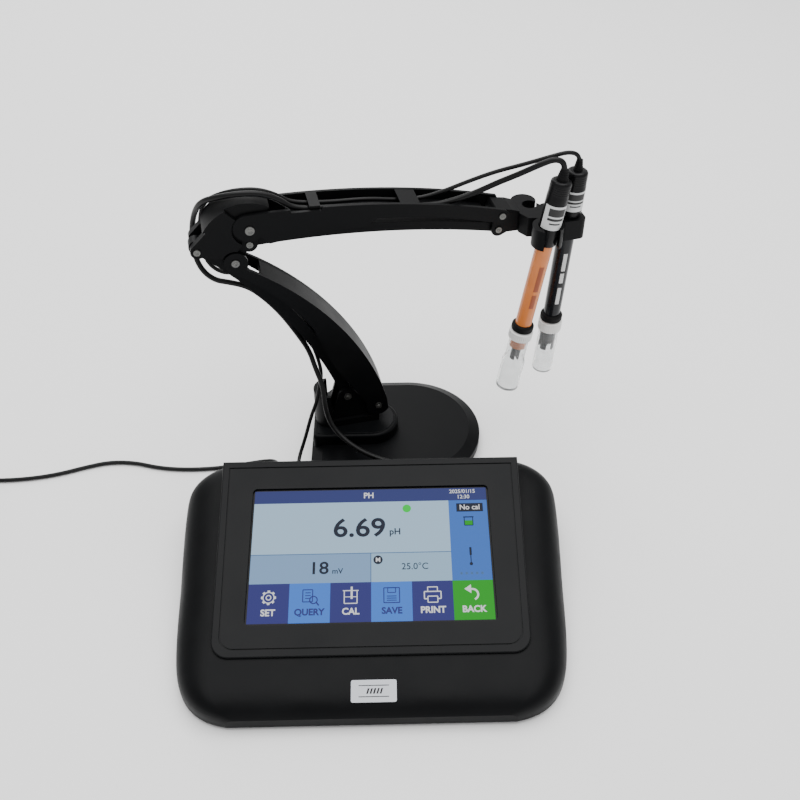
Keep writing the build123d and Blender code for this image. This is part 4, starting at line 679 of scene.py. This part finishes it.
def shape(colour, layer, outline):
    """Flat filled outline on the display, given as u, v points."""
    ui_shapes[colour].append((layer, outline))


def rectangle(colour, layer, u0, v0, u1, v1):
    """Filled rectangle between two corners."""
    shape(colour, layer, [(u0, v0), (u1, v0), (u1, v1), (u0, v1)])


def ring_points(u, v, radius, count=28, start=0.0, end=2 * pi):
    """Points round a centre; radius is a share of the display's height."""
    steps = [start + (end - start) * k / count for k in range(count + 1)]
    return [(u + radius * cos(a) / ASPECT, v - radius * sin(a)) for a in steps]


def disc(colour, layer, u, v, radius):
    """Filled disc."""
    shape(colour, layer, ring_points(u, v, radius)[:-1])


def arc_stroke(colour, layer, u, v, radius, width, start=0.0, end=2 * pi, count=28):
    """Part of a circle's line."""
    outer = ring_points(u, v, radius, count, start, end)
    inner = ring_points(u, v, radius - width, count, start, end)
    for k in range(count):
        shape(colour, layer, [outer[k], outer[k + 1], inner[k + 1], inner[k]])


def stroke(colour, layer, points, width=0.007):
    """Straight lines of even width through u, v points."""
    for (u0, v0), (u1, v1) in zip(points, points[1:]):
        du, dv = (u1 - u0) * ASPECT, v1 - v0
        length = max((du * du + dv * dv) ** 0.5, 1e-6)
        nu, nv = -dv / length * width / 2 / ASPECT, du / length * width / 2
        shape(colour, layer, [(u0 + nu, v0 + nv), (u1 + nu, v1 + nv), (u1 - nu, v1 - nv), (u0 - nu, v0 - nv)])


def frame_box(colour, layer, u0, v0, u1, v1, width=0.007):
    """Outline of a rectangle."""
    stroke(colour, layer, [(u0, v0), (u1, v0), (u1, v1), (u0, v1), (u0, v0)], width)


def words(name, text, u, v, size, colour, layer, bold=0.0, wide=1.0):
    """Lettering centred at u, v. Its size is a share of the display's height, bold its thickening."""
    curve = bpy.data.curves.new(name, "FONT")
    curve.body, curve.size = text, size * DISPLAY_H * MM
    curve.align_x, curve.align_y = "CENTER", "CENTER"
    curve.offset = bold * MM
    curve.resolution_u = 4
    holder = bpy.data.objects.new(name, curve)
    bpy.context.scene.collection.objects.link(holder)
    bpy.context.view_layer.update()
    mesh = bpy.data.meshes.new_from_object(holder)
    bpy.data.objects.remove(holder)
    turn = Matrix((SCREEN_X, SCREEN_Y, SCREEN_UP)).transposed().to_4x4()
    stretch = Matrix.Diagonal((wide, 1, 1, 1))
    mesh.transform(Matrix.Translation(screen_point(u, v, layer)) @ turn @ stretch)
    mesh.materials.clear()
    make_piece(name, mesh, "root", UI[colour], smooth=False)


# panels of the page
SIDE, HEAD, FIELD, FOOT_V = 0.835, 0.10, 0.50, 0.716
rectangle("indigo", 0, 0, 0, 1, HEAD)
rectangle("sky", 0, 0, HEAD, SIDE, FIELD)
rectangle("steel", 0, 0, FIELD, 0.5, FOOT_V)
rectangle("mist", 0, 0.5, FIELD, SIDE, FOOT_V)
rectangle("blue", 0, SIDE, HEAD, 1, FOOT_V)
stroke("slate", 1, [(0, FIELD), (SIDE, FIELD)], 0.006)
stroke("slate", 1, [(0.5, FIELD), (0.5, FOOT_V)], 0.006)
BUTTONS = (("SET", "navy"), ("QUERY", "azure"), ("CAL", "navy"), ("SAVE", "azure"), ("PRINT", "navy"),
           ("BACK", "green"))
for k, (word, colour) in enumerate(BUTTONS):
    u0, u1 = k * SIDE / 5, (k + 1) * SIDE / 5
    if k == 5:
        u1 = 1.0
    rectangle(colour, 0, u0, FOOT_V, u1, 1.0)
    text_colour = "navy" if colour == "azure" else "white"
    words("ui_word_" + word.lower(), word, (u0 + u1) / 2, 0.925, 0.064, text_colour, 3, 0.2)

# reading, status and unit fields
words("ui_reading", "6.69", 0.452, 0.31, 0.2, "ink", 3, 0.3, 1.12)
words("ui_reading_unit", "pH", 0.603, 0.34, 0.068, "ink", 3, 0.12)
words("ui_millivolts", "18", 0.285, 0.61, 0.128, "ink", 3, 0.16, 1.12)
words("ui_millivolts_unit", "mV", 0.362, 0.632, 0.056, "ink", 3, 0.06)
words("ui_temperature", "25.0\u00b0C", 0.683, 0.607, 0.068, "ink", 3, 0.02)
words("ui_page", "PH", 0.492, 0.05, 0.062, "white", 3, 0.14)
words("ui_date", "2025/01/15", 0.897, 0.029, 0.042, "white", 3, 0.05)
words("ui_time", "12:30", 0.9, 0.073, 0.042, "white", 3, 0.05)
words("ui_calibration", "No cal", 0.925, 0.158, 0.056, "white", 4, 0.08)
rectangle("ink", 2, 0.868, 0.125, 0.982, 0.192)
disc("lime", 2, 0.655, 0.158, 0.031)
disc("ink", 2, 0.53, 0.552, 0.033)
words("ui_mode", "M", 0.53, 0.553, 0.046, "white", 4, 0.1)

# side column: beaker and electrode symbols, row of small stars
frame_box("ink", 3, 0.899, 0.235, 0.935, 0.30, 0.006)
rectangle("green", 2, 0.90, 0.262, 0.934, 0.30)
stroke("ink", 3, [(0.895, 0.235), (0.939, 0.235)], 0.008)
stroke("ink", 3, [(0.917, 0.47), (0.917, 0.53)], 0.016)
stroke("ink", 3, [(0.917, 0.53), (0.917, 0.585)], 0.007)
disc("ink", 3, 0.917, 0.595, 0.012)
for k in range(5):
    u = 0.874 + 0.0215 * k
    for start in (pi / 2, 3 * pi / 2):
        shape("slate", 2, ring_points(u, 0.665, 0.013, 3, start, start + 2 * pi)[:-1])

# symbols of the buttons
COLUMN = SIDE / 5
ICON_V = 0.815
for k in range(8):
    a = pi / 4 * k
    stroke("white", 2, ring_points(COLUMN / 2, ICON_V, 0.052, 1, a, a)[:1]
           + ring_points(COLUMN / 2, ICON_V, 0.038, 1, a, a)[:1], 0.018)
arc_stroke("white", 2, COLUMN / 2, ICON_V, 0.042, 0.007)
arc_stroke("white", 2, COLUMN / 2, ICON_V, 0.02, 0.007)
q = 1.5 * COLUMN
frame_box("navy", 2, q - 0.028, ICON_V - 0.052, q + 0.012, ICON_V + 0.035)
for k in range(3):
    stroke("navy", 2, [(q - 0.018, ICON_V - 0.03 + 0.02 * k), (q + 0.004, ICON_V - 0.03 + 0.02 * k)], 0.006)
arc_stroke("navy", 2, q + 0.016, ICON_V + 0.022, 0.03, 0.008)
stroke("navy", 2, [(q + 0.028, ICON_V + 0.04), (q + 0.038, ICON_V + 0.062)], 0.01)
c = 2.5 * COLUMN
stroke("white", 2, [(c - 0.026, ICON_V - 0.04), (c - 0.026, ICON_V + 0.052), (c + 0.026, ICON_V + 0.052),
                    (c + 0.026, ICON_V - 0.04)])
stroke("white", 2, [(c - 0.032, ICON_V - 0.04), (c + 0.032, ICON_V - 0.04)])
stroke("white", 2, [(c - 0.024, ICON_V + 0.005), (c + 0.024, ICON_V + 0.005)], 0.005)
stroke("white", 2, [(c + 0.004, ICON_V - 0.068), (c + 0.004, ICON_V + 0.02)], 0.014)
d = 3.5 * COLUMN
frame_box("navy", 2, d - 0.032, ICON_V - 0.055, d + 0.032, ICON_V + 0.052)
frame_box("navy", 2, d - 0.016, ICON_V - 0.055, d + 0.016, ICON_V - 0.02, 0.006)
for k in range(3):
    stroke("navy", 2, [(d - 0.02, ICON_V + 0.005 + 0.015 * k), (d + 0.02, ICON_V + 0.005 + 0.015 * k)], 0.006)
p = 4.5 * COLUMN
frame_box("white", 2, p - 0.034, ICON_V - 0.022, p + 0.034, ICON_V + 0.03, 0.008)
frame_box("white", 2, p - 0.02, ICON_V - 0.055, p + 0.02, ICON_V - 0.022, 0.007)
rectangle("navy", 3, p - 0.02, ICON_V + 0.012, p + 0.02, ICON_V + 0.056)
frame_box("white", 4, p - 0.02, ICON_V + 0.012, p + 0.02, ICON_V + 0.056, 0.007)
b = (SIDE + 1) / 2
arc_stroke("white", 2, b - 0.003, ICON_V + 0.004, 0.045, 0.014, -pi / 2.6, pi / 1.75)
shape("white", 2, [(b - 0.036, ICON_V - 0.036), (b - 0.008, ICON_V - 0.068), (b - 0.008, ICON_V - 0.004)])


def build_ui():
    """One mesh for each colour, from all its flat shapes."""
    for colour, shapes in ui_shapes.items():
        vertices, faces = [], []
        for layer, outline in shapes:
            first = len(vertices)
            vertices += [screen_point(u, v, layer) for u, v in outline]
            faces.append(tuple(range(first, first + len(outline))))
        if not faces:
            continue
        mesh = mesh_of("ui_" + colour, vertices, faces)
        work = bmesh.new()
        work.from_mesh(mesh)
        for face in work.faces:
            face.normal_update()
            if face.normal.dot(SCREEN_UP) < 0:
                face.normal_flip()
        work.to_mesh(mesh)
        work.free()
        make_piece("ui_" + colour, mesh, "root", UI[colour], smooth=False)


build_ui()

# -------------------------------------------------------------------- badge
BADGE_AT = (1.5, -87.0)         # middle of the plate on the panel's plane
BADGE_DEPTH = 0.17              # the mark lies just above the plate's face


def make_badge_mark():
    """A plain ornament on the silver plate: five slanted bars between two thin lines."""
    bars = [(-4.0 + 2.0 * k, -1.6, 1.1, 3.2, 1.0) for k in range(5)]
    bars += [(0.0, 3.0, 18.0, 0.5, 0.0), (0.0, -3.5, 18.0, 0.5, 0.0)]
    vertices, faces = [], []
    for x, low, width, height, slant in bars:
        first = len(vertices)
        half = width / 2
        for dx, dy in ((-half, 0), (half, 0), (half + slant, height), (-half + slant, height)):
            across, up = BADGE_AT[0] + x + dx, BADGE_AT[1] + low + dy
            vertices.append(PANEL_CENTRE + MM * (across * SCREEN_X + up * SCREEN_Y - BADGE_DEPTH * SCREEN_UP))
        faces.append(tuple(range(first, first + 4)))
    make_piece("badge_mark", mesh_of("badge_mark", vertices, faces), "root", GLOSS, smooth=False)


make_badge_mark()

# ------------------------------------------------------------ floor, lights
FLOOR_HALF = 6.0                # metres
FLOOR_DROP = 0.0002             # metres under the feet


def make_floor():
    """Plain pale floor that the whole object stands on."""
    h = FLOOR_HALF
    mesh = mesh_of("floor", [(-h, -h, 0), (h, -h, 0), (h, h, 0), (-h, h, 0)], [(0, 1, 2, 3)])
    floor = bpy.data.objects.new("floor", mesh)
    bpy.context.scene.collection.objects.link(floor)
    material, nodes, links, shader = new_material("floor")
    shader.inputs["Base Color"].default_value = (0.97, 0.97, 0.97, 1)
    shader.inputs["Roughness"].default_value = 0.9
    shader.inputs["Specular IOR Level"].default_value = 0.0
    mesh.materials.append(material)
    floor.location.z = -FLOOR_DROP


def area_light(name, place, target, size, power):
    """Square soft light, all in metres and watts."""
    data = bpy.data.lights.new(name, "AREA")
    data.shape, data.size, data.energy = "SQUARE", size, power
    light = bpy.data.objects.new(name, data)
    bpy.context.scene.collection.objects.link(light)
    ahead = (Vector(target) - Vector(place)).to_track_quat("-Z", "Y")
    light.matrix_world = Matrix.Translation(place) @ ahead.to_matrix().to_4x4()


make_floor()
area_light("ceiling", (0.1, 0.3, 1.9), (0, 0.1, 0), 2.2, 56)
area_light("back", (-0.5, 1.7, 1.0), (0, 0.1, 0.1), 1.2, 9)
world = bpy.data.worlds.new("studio")
bpy.context.scene.world = world
world.use_nodes = True
world.node_tree.nodes["Background"].inputs["Color"].default_value = (1, 1, 1, 1)
world.node_tree.nodes["Background"].inputs["Strength"].default_value = 0.75
